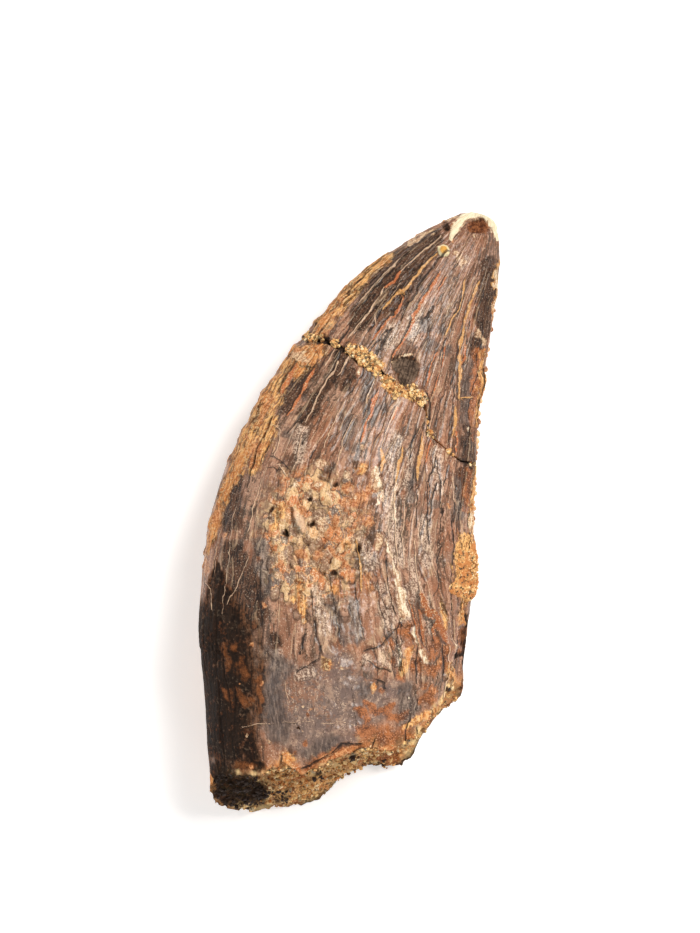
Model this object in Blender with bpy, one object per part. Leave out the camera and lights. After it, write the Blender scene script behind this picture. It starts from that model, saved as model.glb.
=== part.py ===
"""Fossil tyrannosaur tooth, 53 mm long, lying on its side on a small worn flat.

Three solids: the tooth itself, which is a crown with a stub of root and one mineralised piece, the
gritty sandstone that fills the break across its crown, and a patch of that sandstone on its rear
edge.

The shapes are worked out on a drawing of the tooth's upper side: millimetres, x to the right, y up
the drawing, z up off the surface it lies on. The tooth leans on that drawing, so the last step
turns it until its length runs along +Y, and puts the middle of its footprint on the origin.

Words: the mesial edge is the bulging front one, at -X. The distal edge is the serrated rear one, at
+X. Each is a carina. A denticle is one saw tooth of the serration. A run is a distance along the
tooth, from behind its root. A turn is an angle round its cross-section, from the distal edge over
the upper side. The seam is the line of the break across the crown.
"""

import math

import bmesh
import bpy
import numpy as np
from mathutils import Matrix, Vector, noise

# How the drawing lies in the finished frame
LEAN = math.radians(16.0)
FOOTPRINT_MIDDLE = (2.048, -3.591)

# Resolution of the tooth
MERIDIANS = 68
FRACTURE_ROWS = 8
SHAFT_ROWS = 27
TIP_ROWS = 20

# Cross-sections from behind the broken root to the tip: the x and y of the mesial edge, the x and y
# of the distal edge, the rise above them, the drop below them, and their height
STATIONS = np.array([
    (-11.2, -32.0, 8.4, -34.5, 6.8, 6.5, 6.6),
    (-11.6, -25.7, 8.8, -28.6, 7.0, 6.9, 6.6),
    (-12.0, -20.7, 9.1, -23.9, 7.2, 7.3, 6.8),
    (-12.4, -16.1, 9.4, -20.2, 7.3, 7.5, 7.0),
    (-12.5, -11.5, 9.6, -16.6, 7.2, 7.4, 6.9),
    (-12.0, -7.0, 9.8, -12.9, 7.0, 7.1, 6.6),
    (-11.0, -2.1, 10.1, -9.3, 6.7, 6.7, 6.3),
    (-9.3, 2.5, 10.2, -6.1, 6.2, 6.1, 5.9),
    (-7.0, 6.4, 10.3, -3.0, 5.6, 5.3, 5.5),
    (-4.2, 10.3, 10.5, 0.4, 4.9, 4.5, 5.2),
    (-1.3, 13.8, 10.9, 5.2, 4.2, 3.8, 5.0),
    (2.0, 16.8, 11.6, 10.3, 3.5, 3.1, 4.8),
    (5.0, 18.9, 12.2, 14.4, 2.8, 2.5, 4.6),
    (7.3, 20.2, 12.4, 17.4, 2.2, 2.0, 4.4),
    (8.9, 20.95, 12.4, 19.3, 1.7, 1.5, 4.3),
    (9.9, 21.25, 12.0, 20.5, 1.1, 1.0, 4.2),
    (10.8, 21.2, 10.8, 21.2, 0.0, 0.0, 4.2),
])
TIP = len(STATIONS) - 1

# How sharp each edge of the cross-section is: 1 is an ellipse, and more is a sharper edge
DISTAL_SHARPNESS = 1.45
MESIAL_SHARPNESS = (0.88, 1.25)
FULLER_IN_FRONT = 0.10

# Lines across the tooth, from the mesial to the distal edge: where the broken root ends on the
# upper side and on the lower one, and the seam
UPPER_RIM = np.array([
    (-12.5, -25.0), (-9.6, -25.4), (-7.3, -25.2), (-5.4, -24.2), (-3.9, -25.1), (-1.7, -24.0),
    (1.0, -22.9), (3.5, -23.2), (5.2, -22.4), (7.2, -20.1), (8.1, -18.4), (10.0, -16.6),
])
LOWER_RIM = np.array([
    (-12.5, -26.6), (-11.3, -28.1), (-10.0, -28.9), (-7.9, -29.2), (-5.8, -28.8), (-3.9, -28.7),
    (-2.5, -28.2), (-1.7, -27.3), (-0.7, -26.0), (1.8, -25.3), (4.3, -25.2), (5.2, -24.4),
    (6.0, -22.7), (7.7, -20.3), (9.2, -19.2), (10.2, -17.8),
])
SEAM = np.array([
    (-7.0, 11.0), (-4.2, 10.7), (-2.7, 10.3), (-0.4, 9.5), (1.8, 8.6), (3.3, 7.0), (5.2, 5.5),
    (6.5, 3.3), (7.9, 1.8), (9.2, 0.8), (10.5, -0.2), (13.0, -1.9),
])
FRACTURE_HOLLOW = 1.6

# Relief of the upper side: lengths in millimetres, places as x, y, half width and half length
TROUGH_AT = 0.60
TROUGH_DEPTH = 0.42
ENAMEL_END = np.array([
    (-12.0, -15.0), (-7.0, -15.5), (-2.0, -15.8), (1.0, -17.0), (4.0, -18.5), (7.0, -18.0),
    (10.0, -15.0),
])
ENAMEL_THICKNESS = 0.18
WORN_FRONT_DEPTH = 0.20
PITTED_PLACE = (-3.2, -6.0, 4.6, 6.0)
PITTED_DEPTH = 0.40
CHIPS = (
    (0.45, 4.4, 8.2, 1.1, 1.3),
    (0.60, 9.6, -17.6, 1.2, 2.4),
    (0.35, 11.2, 20.2, 1.1, 0.8),
)

# The break, and the sandstone in it
GROOVE_HALF_WIDTH = 0.75
GROOVE_DEPTH = 0.75
FILL_HALF_WIDTH = 0.42
FILL_CREST = 0.16

# The sandstone patch on the distal edge
PATCH_Y = -8.9
PATCH_HALF_LENGTH = 3.4
PATCH_HALF_TURN = 0.66
PATCH_THICKNESS = 0.50
PATCH_GAP = 0.10

# Serration of the distal carina: the drawing's y at both ends of each stretch, and one denticle as
# pairs of its share of the pitch and how far it is raised there
SERRATED = {"serration_by_tip": (0.6, 13.5), "serration_by_root": (-5.6, -0.7)}
DENTICLE_PITCH = 0.52
DENTICLE_HEIGHT = 0.26
DENTICLE_DEPTH = 0.9
DENTICLE_PROFILE = ((0.06, 0), (0.26, 1), (0.66, 1), (0.86, 0))


def smooth_through(rows, at):
    """Catmull-Rom curve through the rows, read at each station number in at."""
    last = len(rows) - 1
    at = np.clip(at, 0, last)
    k = np.minimum(np.floor(at).astype(int), last - 1)
    t = (at - k)[..., None]
    before, here, there, after = (rows[np.clip(k + n, 0, last)] for n in (-1, 0, 1, 2))
    bend = 2 * before - 5 * here + 4 * there - after
    return here + 0.5 * t * (there - before + t * (bend + t * (3 * (here - there) + after - before)))


def smoothstep(low, high, x):
    t = np.clip((x - low) / (high - low), 0, 1)
    return t * t * (3 - 2 * t)


def section_shape(turns, stations):
    """Unit cross-section: x from -1 at the mesial edge to 1 at the distal one, z from -1 to 1."""
    c, s = np.cos(turns), np.sin(turns)
    mesial = np.interp(stations, (0, TIP), MESIAL_SHARPNESS)
    sharpness = 1 + np.where(c > 0, DISTAL_SHARPNESS - 1, mesial - 1) * smoothstep(0, 0.8, np.abs(c))
    return c - FULLER_IN_FRONT * s * s, np.sign(s) * np.abs(s) ** sharpness


def body_point(stations, turns):
    """Points on the plain body, before its relief."""
    mesial_x, mesial_y, distal_x, distal_y, rise, drop, level = np.moveaxis(
        smooth_through(STATIONS, stations), -1, 0)
    across, up = section_shape(turns, stations)
    x = (mesial_x + distal_x + across * (distal_x - mesial_x)) / 2
    y = (mesial_y + distal_y + across * (distal_y - mesial_y)) / 2
    return np.stack([x, y, level + up * np.where(up > 0, rise, drop)], -1)


def even_turns():
    """One turn for each meridian, from the distal edge, evenly spaced round the cross-section."""
    fine = np.linspace(0, 2 * np.pi, 2001)
    x, z = section_shape(fine, 0.5 * TIP)
    length = np.concatenate([[0], np.cumsum(np.hypot(np.diff(x), 0.62 * np.diff(z)))])
    return np.interp(np.arange(MERIDIANS) / MERIDIANS * length[-1], length, fine)


def mean_edge_run(stations):
    """Run to each station, as the mean of the distances along the two edges."""
    places = smooth_through(STATIONS, stations)
    steps = [np.hypot(np.diff(places[:, i]), np.diff(places[:, i + 1])) for i in (0, 2)]
    return np.concatenate([[0], np.cumsum(sum(steps) / 2)])


TURNS = even_turns()
FINE_STATIONS = np.linspace(0, TIP, 1601)
FINE_RUNS = mean_edge_run(FINE_STATIONS)


def station_of(runs):
    return np.interp(runs, FINE_RUNS, FINE_STATIONS)


def runs_at_line(line, turns):
    """How far along the tooth each turn crosses a line drawn across it."""
    below_tip = FINE_STATIONS < 0.8 * TIP
    runs = []
    for turn in turns:
        points = body_point(FINE_STATIONS, np.full_like(FINE_STATIONS, turn))
        below_line = points[:, 1] < np.interp(points[:, 0], line[:, 0], line[:, 1])
        runs.append(FINE_RUNS[below_line & below_tip][-1])
    return np.array(runs)


def rim_runs(turns):
    """Where the broken root ends at each turn. It slants, so the lower side is the longer one."""
    share = smoothstep(-0.2, 0.5, np.sin(turns))
    return (1 - share) * runs_at_line(LOWER_RIM, turns) + share * runs_at_line(UPPER_RIM, turns)


def rough(points, size, seed):
    """Smooth noise at each point, from about -1 to 1, with lumps of the given size."""
    shift = Vector((seed, 2.3 * seed, 0.7 * seed))
    values = [noise.noise(Vector(p) / size + shift) for p in points.reshape(-1, 3)]
    return np.array(values).reshape(points.shape[:-1])


def hill(points, x, y, half_width, half_length):
    """A soft round hill, 1 at its centre."""
    dx, dy = (points[..., 0] - x) / half_width, (points[..., 1] - y) / half_length
    return np.exp(-dx * dx - dy * dy)


def relief(points, stations, turns):
    """How far the surface stands out from the plain body."""
    x, y = points[..., 0], points[..., 1]
    across = np.cos(turns)
    upper = smoothstep(-0.1, 0.3, np.sin(turns))

    trough = np.exp(-((across - TROUGH_AT) / 0.17) ** 2)
    out = -TROUGH_DEPTH * trough * smoothstep(2, 5, stations) * smoothstep(13, 10, stations)

    enamel_end = np.interp(x, ENAMEL_END[:, 0], ENAMEL_END[:, 1])
    out += ENAMEL_THICKNESS * smoothstep(-0.5, 0.5, y - enamel_end) * upper

    worn_front = smoothstep(-0.70, -0.88, across) * smoothstep(4, 6, stations)
    out -= WORN_FRONT_DEPTH * worn_front * upper

    pitted = hill(points, *PITTED_PLACE) * upper
    out += pitted * (PITTED_DEPTH * rough(points, 1.7, 3.0) - 0.12)
    for depth, *place in CHIPS:
        out -= depth * hill(points, *place) * upper

    out += 0.22 * rough(points, 6.0, 1.0) + 0.10 * rough(points, 2.2, 2.0)
    return out * smoothstep(TIP, TIP - 2.5, stations)


def surface(runs, turns):
    """The tooth's surface as if it weren't broken, and its normals, on a grid: a row is one run at
    every turn."""
    stations = station_of(runs)
    turns = np.broadcast_to(turns, runs.shape)
    points = body_point(stations, turns)
    along = np.gradient(points, axis=0)
    across = body_point(stations, turns + 0.02) - body_point(stations, turns - 0.02)
    normals = np.cross(across, along)
    normals /= -np.linalg.norm(normals, axis=-1, keepdims=True)
    return points + normals * relief(points, stations, turns)[..., None], normals


def fracture(rim):
    """Rows of the broken root's end, from its middle out to just inside its rim. Each row is a
    smoother copy of the rim than the one outside it."""
    middle = rim.mean(axis=0)
    rows = []
    for share in np.arange(1, FRACTURE_ROWS)[::-1] / FRACTURE_ROWS:
        for _ in range(6):
            rim = (np.roll(rim, 1, axis=0) + 2 * rim + np.roll(rim, -1, axis=0)) / 4
        row = middle + (rim - middle) * share
        lumps = 0.9 * rough(row, 2.4, 7.0) + 0.5 * rough(row, 1.1, 8.0)
        row[:, 1] += FRACTURE_HOLLOW * (1 - share ** 2) + lumps * (1 - share ** 6)
        rows.insert(0, row)
    return [rows[0].mean(axis=0), *rows]


def tooth_rows():
    """Every row of the tooth, from the middle of its broken root to its tip."""
    rim, seam = rim_runs(TURNS), runs_at_line(SEAM, TURNS)
    below = np.linspace(rim, seam - GROOVE_HALF_WIDTH, SHAFT_ROWS)[:-1]
    through = np.linspace(seam - GROOVE_HALF_WIDTH, seam + GROOVE_HALF_WIDTH, 5)
    above = np.linspace(seam + GROOVE_HALF_WIDTH, FINE_RUNS[-1] + 0 * seam, TIP_ROWS)[1:-1]
    runs = np.concatenate([below, through, above])
    shaft, normals = surface(runs, TURNS)
    groove = GROOVE_DEPTH * np.clip(1 - np.abs(runs - seam) / GROOVE_HALF_WIDTH, 0, 1)
    shaft -= normals * groove[..., None]
    tip = STATIONS[-1][[0, 1, 6]]
    return [*fracture(shaft[0]), *shaft, tip]


def tooth_mesh():
    """A UV sphere laid on the tooth: its poles are the middle of the broken root and the tip."""
    rows = tooth_rows()
    bm = bmesh.new()
    bmesh.ops.create_uvsphere(bm, u_segments=MERIDIANS, v_segments=len(rows) - 1, radius=1)
    for v in bm.verts:
        row = rows[round(math.acos(max(-1, min(1, -v.co.z))) / math.pi * (len(rows) - 1))]
        column = round(math.atan2(v.co.y, v.co.x) / math.tau * MERIDIANS) % MERIDIANS
        v.co = row[column] if row.ndim == 2 else row
        v.co.z = max(v.co.z, 0)
    return bm


def tube_mesh(sections, closed):
    """Faces through sections that have equal numbers of points: a ring, or a rod with its ends
    filled."""
    steps, around = len(sections) - (0 if closed else 1), len(sections[0])
    bm = bmesh.new()
    bmesh.ops.create_grid(bm, x_segments=steps, y_segments=around, size=1)
    for v in bm.verts:
        section = sections[round((v.co.x + 1) / 2 * steps) % len(sections)]
        v.co = section[round((v.co.y + 1) / 2 * around) % around]
    bmesh.ops.remove_doubles(bm, verts=bm.verts, dist=1e-4)
    bmesh.ops.holes_fill(bm, edges=bm.edges)
    return bm


def serration_mesh(low, high):
    """A strip of denticles along the distal carina, between two heights on the drawing."""
    start, end = np.interp((low, high), smooth_through(STATIONS, FINE_STATIONS)[:, 3], FINE_RUNS)
    up = np.array([0, 0, 1])
    sections = []
    for n in range(int((end - start) / DENTICLE_PITCH)):
        for share, raised in DENTICLE_PROFILE:
            at = smooth_through(STATIONS, station_of(start + (n + share) * DENTICLE_PITCH))
            out = np.append(at[2:4] - at[0:2], 0)
            out /= np.linalg.norm(out)
            edge = np.append(at[2:4], at[6])
            root = edge - out * DENTICLE_DEPTH
            crest = edge + out * (0.02 + DENTICLE_HEIGHT * raised)
            sections.append([root + 0.50 * up, crest + 0.17 * up,
                             crest - 0.17 * up, root - 0.50 * up])
    return tube_mesh(sections, closed=False)


def break_fill_mesh():
    """The gritty band in the break: it goes all round the crown, uneven in width and height."""
    seam = runs_at_line(SEAM, TURNS)
    middle = body_point(station_of(seam), TURNS)
    swell = 0.5 + 0.9 * rough(middle, 2.4, 5.0) + 0.5 * rough(middle, 0.8, 6.0)
    half_width = FILL_HALF_WIDTH * (0.75 + 0.5 * np.clip(swell, 0, 1))
    crest = FILL_CREST * (0.2 + 1.6 * np.clip(swell, 0, 1))
    edges = []
    for side, out in ((-1, 0.03), (0, crest), (1, 0.03), (0.55, -0.18), (0, -0.40), (-0.55, -0.18)):
        points, normals = surface(np.stack([seam + side * half_width + d for d in (-0.05, 0, 0.05)]), TURNS)
        edges.append(points[1] + normals[1] * np.broadcast_to(out, seam.shape)[:, None])
    return tube_mesh(np.stack(edges, axis=1), closed=True)


def edge_matrix_mesh():
    """A ball squashed onto the distal edge: its under half lies just off the tooth."""
    middle = np.interp(PATCH_Y, smooth_through(STATIONS, FINE_STATIONS)[:, 3], FINE_RUNS)
    bm = bmesh.new()
    bmesh.ops.create_uvsphere(bm, u_segments=20, v_segments=10, radius=1)
    for v in bm.verts:
        run = middle + v.co.x * PATCH_HALF_LENGTH
        points, normals = surface(np.array([[run - 0.05], [run], [run + 0.05]]), v.co.y * PATCH_HALF_TURN)
        lumpy = 1 + 0.35 * rough(points[1], 1.3, 9.0)[0]
        out = PATCH_GAP + PATCH_THICKNESS * max(v.co.z, 0) * lumpy
        v.co = points[1, 0] + normals[1, 0] * out
    return bm


def material(name, colour, roughness):
    made = bpy.data.materials.new(name)
    made.use_nodes = True
    shader = made.node_tree.nodes["Principled BSDF"]
    shader.inputs["Base Color"].default_value = (*colour, 1)
    shader.inputs["Roughness"].default_value = roughness
    return made


def add_object(name, bm, finish):
    """Turns a bmesh from the drawing's millimetres into a named object of the finished frame."""
    to_origin = Matrix.Translation((-FOOTPRINT_MIDDLE[0], -FOOTPRINT_MIDDLE[1], 0))
    bm.transform(Matrix.Scale(0.001, 4) @ to_origin @ Matrix.Rotation(LEAN, 4, "Z"))
    bmesh.ops.recalc_face_normals(bm, faces=bm.faces)
    if bm.calc_volume(signed=True) < 0:
        bmesh.ops.reverse_faces(bm, faces=bm.faces)
    mesh = bpy.data.meshes.new(name)
    bm.to_mesh(mesh)
    bm.free()
    mesh.shade_smooth()
    mesh.set_sharp_from_angle(angle=math.radians(40))
    mesh.materials.append(finish)
    made = bpy.data.objects.new(name, mesh)
    bpy.context.scene.collection.objects.link(made)
    return made


def join(body, piece):
    """Makes the piece part of the body with a Boolean union, and leaves it out of the model."""
    piece.hide_render = True
    piece.display_type = "WIRE"
    union = body.modifiers.new(piece.name, "BOOLEAN")
    union.operation = "UNION"
    union.object = piece


def build():
    for obj in list(bpy.data.objects):
        bpy.data.objects.remove(obj)
    enamel = material("enamel", (0.16, 0.12, 0.09), 0.45)
    sandstone = material("sandstone", (0.42, 0.27, 0.12), 0.9)

    tooth = add_object("tooth", tooth_mesh(), enamel)
    for name, stretch in SERRATED.items():
        join(tooth, add_object(name, serration_mesh(*stretch), enamel))
    add_object("break_fill", break_fill_mesh(), sandstone)
    add_object("edge_matrix", edge_matrix_mesh(), sandstone)


build()
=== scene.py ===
# %% [markdown]
# # The looks of a fossil tyrannosaur tooth
# The solids of this tooth are already made and packed. This lesson gives them their looks: cracked
# brown enamel, sandstone in the break, serrations, crusts and rust. It starts by loading the packed
# solids, because everything here has to lie exactly where they do. Their box is kept too, because no
# piece may reach past it.

# %% Load the packed solids
import math

import bmesh
import bpy
import numpy as np
from mathutils import Matrix, Vector, noise


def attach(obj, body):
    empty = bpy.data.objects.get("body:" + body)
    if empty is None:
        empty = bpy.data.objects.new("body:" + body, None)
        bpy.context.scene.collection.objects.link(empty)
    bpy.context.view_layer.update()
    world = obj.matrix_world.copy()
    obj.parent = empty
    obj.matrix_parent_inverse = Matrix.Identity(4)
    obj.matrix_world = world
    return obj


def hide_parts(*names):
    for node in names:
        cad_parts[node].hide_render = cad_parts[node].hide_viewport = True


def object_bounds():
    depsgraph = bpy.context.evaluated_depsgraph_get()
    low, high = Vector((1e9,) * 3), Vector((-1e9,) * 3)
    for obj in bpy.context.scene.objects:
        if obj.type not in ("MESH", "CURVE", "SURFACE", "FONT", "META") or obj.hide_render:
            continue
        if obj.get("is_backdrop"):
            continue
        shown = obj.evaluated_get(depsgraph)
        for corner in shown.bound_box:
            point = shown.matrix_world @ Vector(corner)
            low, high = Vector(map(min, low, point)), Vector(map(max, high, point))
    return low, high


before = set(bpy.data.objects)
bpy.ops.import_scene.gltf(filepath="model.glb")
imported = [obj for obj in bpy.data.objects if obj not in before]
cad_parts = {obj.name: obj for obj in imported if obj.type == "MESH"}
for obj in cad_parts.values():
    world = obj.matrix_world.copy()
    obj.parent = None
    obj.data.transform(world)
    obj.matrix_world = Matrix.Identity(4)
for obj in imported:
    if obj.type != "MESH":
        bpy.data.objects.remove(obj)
CAD_LOW, CAD_HIGH = (np.array(corner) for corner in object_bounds())
print("packed nodes:", sorted(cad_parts), "size in mm:", np.round((CAD_HIGH - CAD_LOW) * 1000, 2))

# %% [markdown]
# ## The drawing and the plan
# The tooth's shape is worked out on a drawing of its upper side, in millimetres. The drawing leans,
# and one matrix stands it upright on the origin. Marks, such as veins and stains, are placed on a
# plan instead: the view straight down from the camera, ruled with 12 squares to the millimetre and
# counted from the top left. A plan can be read off a real specimen with a ruler, and the same
# projection puts a mark back on the curved surface, which a flat drawing couldn't.

# %% From the drawing to the frame, and to the plan
LEAN = math.radians(16.0)
FOOTPRINT_MIDDLE = (2.048, -3.591)
TO_FRAME = (Matrix.Scale(0.001, 4) @ Matrix.Translation((-FOOTPRINT_MIDDLE[0], -FOOTPRINT_MIDDLE[1], 0))
            @ Matrix.Rotation(LEAN, 4, "Z"))

SQUARES_PER_MM = 12
PLAN_SIZE = (700, 933)
PLAN_MIDDLE = (PLAN_SIZE[0] / 2, PLAN_SIZE[1] / 2)
PLAN_HEIGHT = PLAN_SIZE[1] / SQUARES_PER_MM
PLAN_LEVEL = 6.5
EYE_ABOVE_PLAN = 324.0
SENSOR = 36.0


def plan_of(points):
    """Squares across and down the plan for points on the drawing, as the camera sees them."""
    nearer = EYE_ABOVE_PLAN / (EYE_ABOVE_PLAN + PLAN_LEVEL - points[..., 2])
    x = PLAN_MIDDLE[0] + SQUARES_PER_MM * points[..., 0] * nearer
    y = PLAN_MIDDLE[1] - SQUARES_PER_MM * points[..., 1] * nearer
    return np.stack([x, y], -1)


def in_frame(points):
    """Drawing points, in millimetres, as frame points, in metres."""
    turn = np.array(TO_FRAME.to_3x3())
    return points @ turn.T + np.array(TO_FRAME.translation)


print("the plan is", round(PLAN_HEIGHT, 1), "mm tall")

# %% [markdown]
# ## Camera, light and floor
# A fossil is recorded lying on its side, from straight above. A long lens keeps its thick root from
# looking larger than its tip. One large soft lamp to the upper right gives the relief its shading.
# Weaker ones to the left and below keep the shadows open, and a pale sky fills the rest.

# %% Camera
camera_data = bpy.data.cameras.new("record_camera")
camera_data.sensor_width = SENSOR
camera_data.lens = SENSOR * EYE_ABOVE_PLAN / PLAN_HEIGHT
camera = bpy.data.objects.new("record_camera", camera_data)
camera.location = TO_FRAME @ Vector((0, 0, PLAN_LEVEL + EYE_ABOVE_PLAN))
camera.rotation_euler = (0, 0, LEAN)
bpy.context.scene.collection.objects.link(camera)
bpy.context.scene.camera = camera
bpy.context.scene.view_settings.view_transform = "Standard"
print("lens", round(camera_data.lens, 1), "mm, height", round(camera.location.z, 3), "m")

# %% Lamps and sky
WARM_WHITE = (1.0, 0.98, 0.95)
SKY_STRENGTH = 0.30


def soft_lamp(name, place, size, watts, colour):
    """A square lamp at a place around the camera's own axes, pointing at the tooth."""
    data = bpy.data.lights.new(name, "AREA")
    data.size, data.energy, data.color = size, watts, colour
    lamp = bpy.data.objects.new(name, data)
    lamp.location = Matrix.Rotation(LEAN, 3, "Z") @ Vector(place)
    lamp.rotation_euler = (-lamp.location).to_track_quat("-Z", "Y").to_euler()
    bpy.context.scene.collection.objects.link(lamp)


soft_lamp("key_lamp", (0.15, 0.13, 0.30), 0.15, 1.26, (1.0, 0.97, 0.93))
soft_lamp("fill_lamp", (-0.28, 0.06, 0.22), 0.30, 0.42, WARM_WHITE)
soft_lamp("low_lamp", (0.04, -0.30, 0.20), 0.24, 0.26, WARM_WHITE)
sky = bpy.data.worlds.new("pale_sky")
sky.use_nodes = True
sky.node_tree.nodes["Background"].inputs["Color"].default_value = (1, 1, 1, 1)
sky.node_tree.nodes["Background"].inputs["Strength"].default_value = SKY_STRENGTH
bpy.context.scene.world = sky

# %% Floor
FLOOR_HALF = 1.5
FLOOR_GAP = 0.0001
FLOOR_GLOW = 0.34
floor_mesh = bmesh.new()
bmesh.ops.create_grid(floor_mesh, x_segments=1, y_segments=1, size=FLOOR_HALF)
floor_data = bpy.data.meshes.new("floor")
floor_mesh.to_mesh(floor_data)
floor_mesh.free()
floor = bpy.data.objects.new("floor", floor_data)
floor.location.z = -FLOOR_GAP
bpy.context.scene.collection.objects.link(floor)
floor_finish = bpy.data.materials.new("floor_paper")
floor_finish.use_nodes = True
floor_shader = floor_finish.node_tree.nodes["Principled BSDF"]
floor_shader.inputs["Base Color"].default_value = (0.90, 0.90, 0.90, 1)
floor_shader.inputs["Roughness"].default_value = 0.9
floor_shader.inputs["Specular IOR Level"].default_value = 0.0
floor_shader.inputs["Emission Color"].default_value = (1, 1, 1, 1)
floor_shader.inputs["Emission Strength"].default_value = FLOOR_GLOW
floor_data.materials.append(floor_finish)
floor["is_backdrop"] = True
print("floor", 2 * FLOOR_HALF, "m wide")

# %% [markdown]
# ## The body of the tooth
# The tooth is a curved cone whose cross-section is a rounded wedge: full at the bulging front edge,
# the mesial one, and sharp at the serrated rear edge, the distal one. It is drawn as a row of
# cross-sections from behind the broken root to the tip, with a smooth curve through them. Any place
# on it then has two numbers: its run, a distance along the tooth, and its turn, an angle round the
# cross-section from the distal edge over the upper side. Cracks, ribs and serrations all follow
# those two directions, which a sculpted mesh would have lost.

# %% Cross-sections
# The x and y of the mesial edge, the x and y of the distal one, the rise above them, the drop below
# them, and their height, in millimetres on the drawing.
STATIONS = np.array([
    (-11.2, -32.0, 8.4, -34.5, 6.8, 6.5, 6.6),
    (-11.6, -25.7, 8.8, -28.6, 7.0, 6.9, 6.6),
    (-12.0, -20.7, 9.1, -23.9, 7.2, 7.3, 6.8),
    (-12.4, -16.1, 9.4, -20.2, 7.3, 7.5, 7.0),
    (-12.5, -11.5, 9.6, -16.6, 7.2, 7.4, 6.9),
    (-12.0, -7.0, 9.8, -12.9, 7.0, 7.1, 6.6),
    (-11.0, -2.1, 10.1, -9.3, 6.7, 6.7, 6.3),
    (-9.3, 2.5, 10.2, -6.1, 6.2, 6.1, 5.9),
    (-7.0, 6.4, 10.3, -3.0, 5.6, 5.3, 5.5),
    (-4.2, 10.3, 10.5, 0.4, 4.9, 4.5, 5.2),
    (-1.3, 13.8, 10.9, 5.2, 4.2, 3.8, 5.0),
    (2.0, 16.8, 11.6, 10.3, 3.5, 3.1, 4.8),
    (5.0, 18.9, 12.2, 14.4, 2.8, 2.5, 4.6),
    (7.3, 20.2, 12.4, 17.4, 2.2, 2.0, 4.4),
    (8.9, 20.95, 12.4, 19.3, 1.7, 1.5, 4.3),
    (9.9, 21.25, 12.0, 20.5, 1.1, 1.0, 4.2),
    (10.8, 21.2, 10.8, 21.2, 0.0, 0.0, 4.2),
])
TIP = len(STATIONS) - 1
DISTAL_SHARPNESS = 1.45
MESIAL_SHARPNESS = (0.88, 1.25)
FULLER_IN_FRONT = 0.10
MID_FLATNESS = 0.62


def smooth_through(rows, at):
    """Catmull-Rom curve through the rows, read at each station number in at."""
    last = len(rows) - 1
    at = np.clip(at, 0, last)
    k = np.minimum(np.floor(at).astype(int), last - 1)
    t = (at - k)[..., None]
    before, here, there, after = (rows[np.clip(k + n, 0, last)] for n in (-1, 0, 1, 2))
    bend = 2 * before - 5 * here + 4 * there - after
    return here + 0.5 * t * (there - before + t * (bend + t * (3 * (here - there) + after - before)))


def smoothstep(low, high, x):
    t = np.clip((x - low) / (high - low), 0, 1)
    return t * t * (3 - 2 * t)


def section_shape(turns, stations):
    """Unit cross-section: x from -1 at the mesial edge to 1 at the distal one, z from -1 to 1."""
    c, s = np.cos(turns), np.sin(turns)
    mesial = np.interp(stations, (0, TIP), MESIAL_SHARPNESS)
    sharpness = 1 + np.where(c > 0, DISTAL_SHARPNESS - 1, mesial - 1) * smoothstep(0, 0.8, np.abs(c))
    return c - FULLER_IN_FRONT * s * s, np.sign(s) * np.abs(s) ** sharpness


def body_point(stations, turns):
    """Points on the plain body, before its relief."""
    mesial_x, mesial_y, distal_x, distal_y, rise, drop, level = np.moveaxis(
        smooth_through(STATIONS, stations), -1, 0)
    across, up = section_shape(turns, stations)
    x = (mesial_x + distal_x + across * (distal_x - mesial_x)) / 2
    y = (mesial_y + distal_y + across * (distal_y - mesial_y)) / 2
    return np.stack([x, y, level + up * np.where(up > 0, rise, drop)], -1)


def mean_edge_run(stations):
    """Run to each station, as the mean of the distances along the two edges."""
    places = smooth_through(STATIONS, stations)
    steps = [np.hypot(np.diff(places[:, i]), np.diff(places[:, i + 1])) for i in (0, 2)]
    return np.concatenate([[0], np.cumsum(sum(steps) / 2)])


FINE_STATIONS = np.linspace(0, TIP, 1601)
FINE_RUNS = mean_edge_run(FINE_STATIONS)


def station_of(runs):
    return np.interp(runs, FINE_RUNS, FINE_STATIONS)


def on_body(runs, turns):
    return body_point(station_of(runs), turns)


def surface_normals(runs, turns):
    """Outward directions of the plain body."""
    along = on_body(runs + 0.05, turns) - on_body(runs - 0.05, turns)
    across = on_body(runs, turns + 0.02) - on_body(runs, turns - 0.02)
    normals = -np.cross(across, along)
    return normals / np.maximum(np.linalg.norm(normals, axis=-1, keepdims=True), 1e-9)


print("run from behind the root to the tip:", round(FINE_RUNS[-1], 1), "mm")

# %% [markdown]
# Three lines cross the tooth: the upper and lower rims of the broken root, and the seam, where the
# crown once broke through. Each is drawn as a line on the drawing, and the run at which every
# meridian meets it is looked up, so the line wraps round the body.

# %% Lines across the tooth
UPPER_RIM = np.array([
    (-12.5, -25.0), (-9.6, -25.4), (-7.3, -25.2), (-5.4, -24.2), (-3.9, -25.1), (-1.7, -24.0),
    (1.0, -22.9), (3.5, -23.2), (5.2, -22.4), (7.2, -20.1), (8.1, -18.4), (10.0, -16.6),
])
LOWER_RIM = np.array([
    (-12.5, -26.6), (-11.3, -28.1), (-10.0, -28.9), (-7.9, -29.2), (-5.8, -28.8), (-3.9, -28.7),
    (-2.5, -28.2), (-1.7, -27.3), (-0.7, -26.0), (1.8, -25.3), (4.3, -25.2), (5.2, -24.4),
    (6.0, -22.7), (7.7, -20.3), (9.2, -19.2), (10.2, -17.8),
])
SEAM_ON_PLAN = np.array([
    (290, 331), (312, 338), (330, 343), (345, 350), (356, 356), (368, 363), (378, 369), (384, 376),
    (390, 384), (396, 391), (404, 394), (413, 396), (421, 400), (426, 408), (428, 420), (430, 431),
    (436, 438), (444, 446), (452, 454), (460, 461), (472, 464), (484, 467), (500, 470),
])
CROWN_STATIONS = 1281


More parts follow.
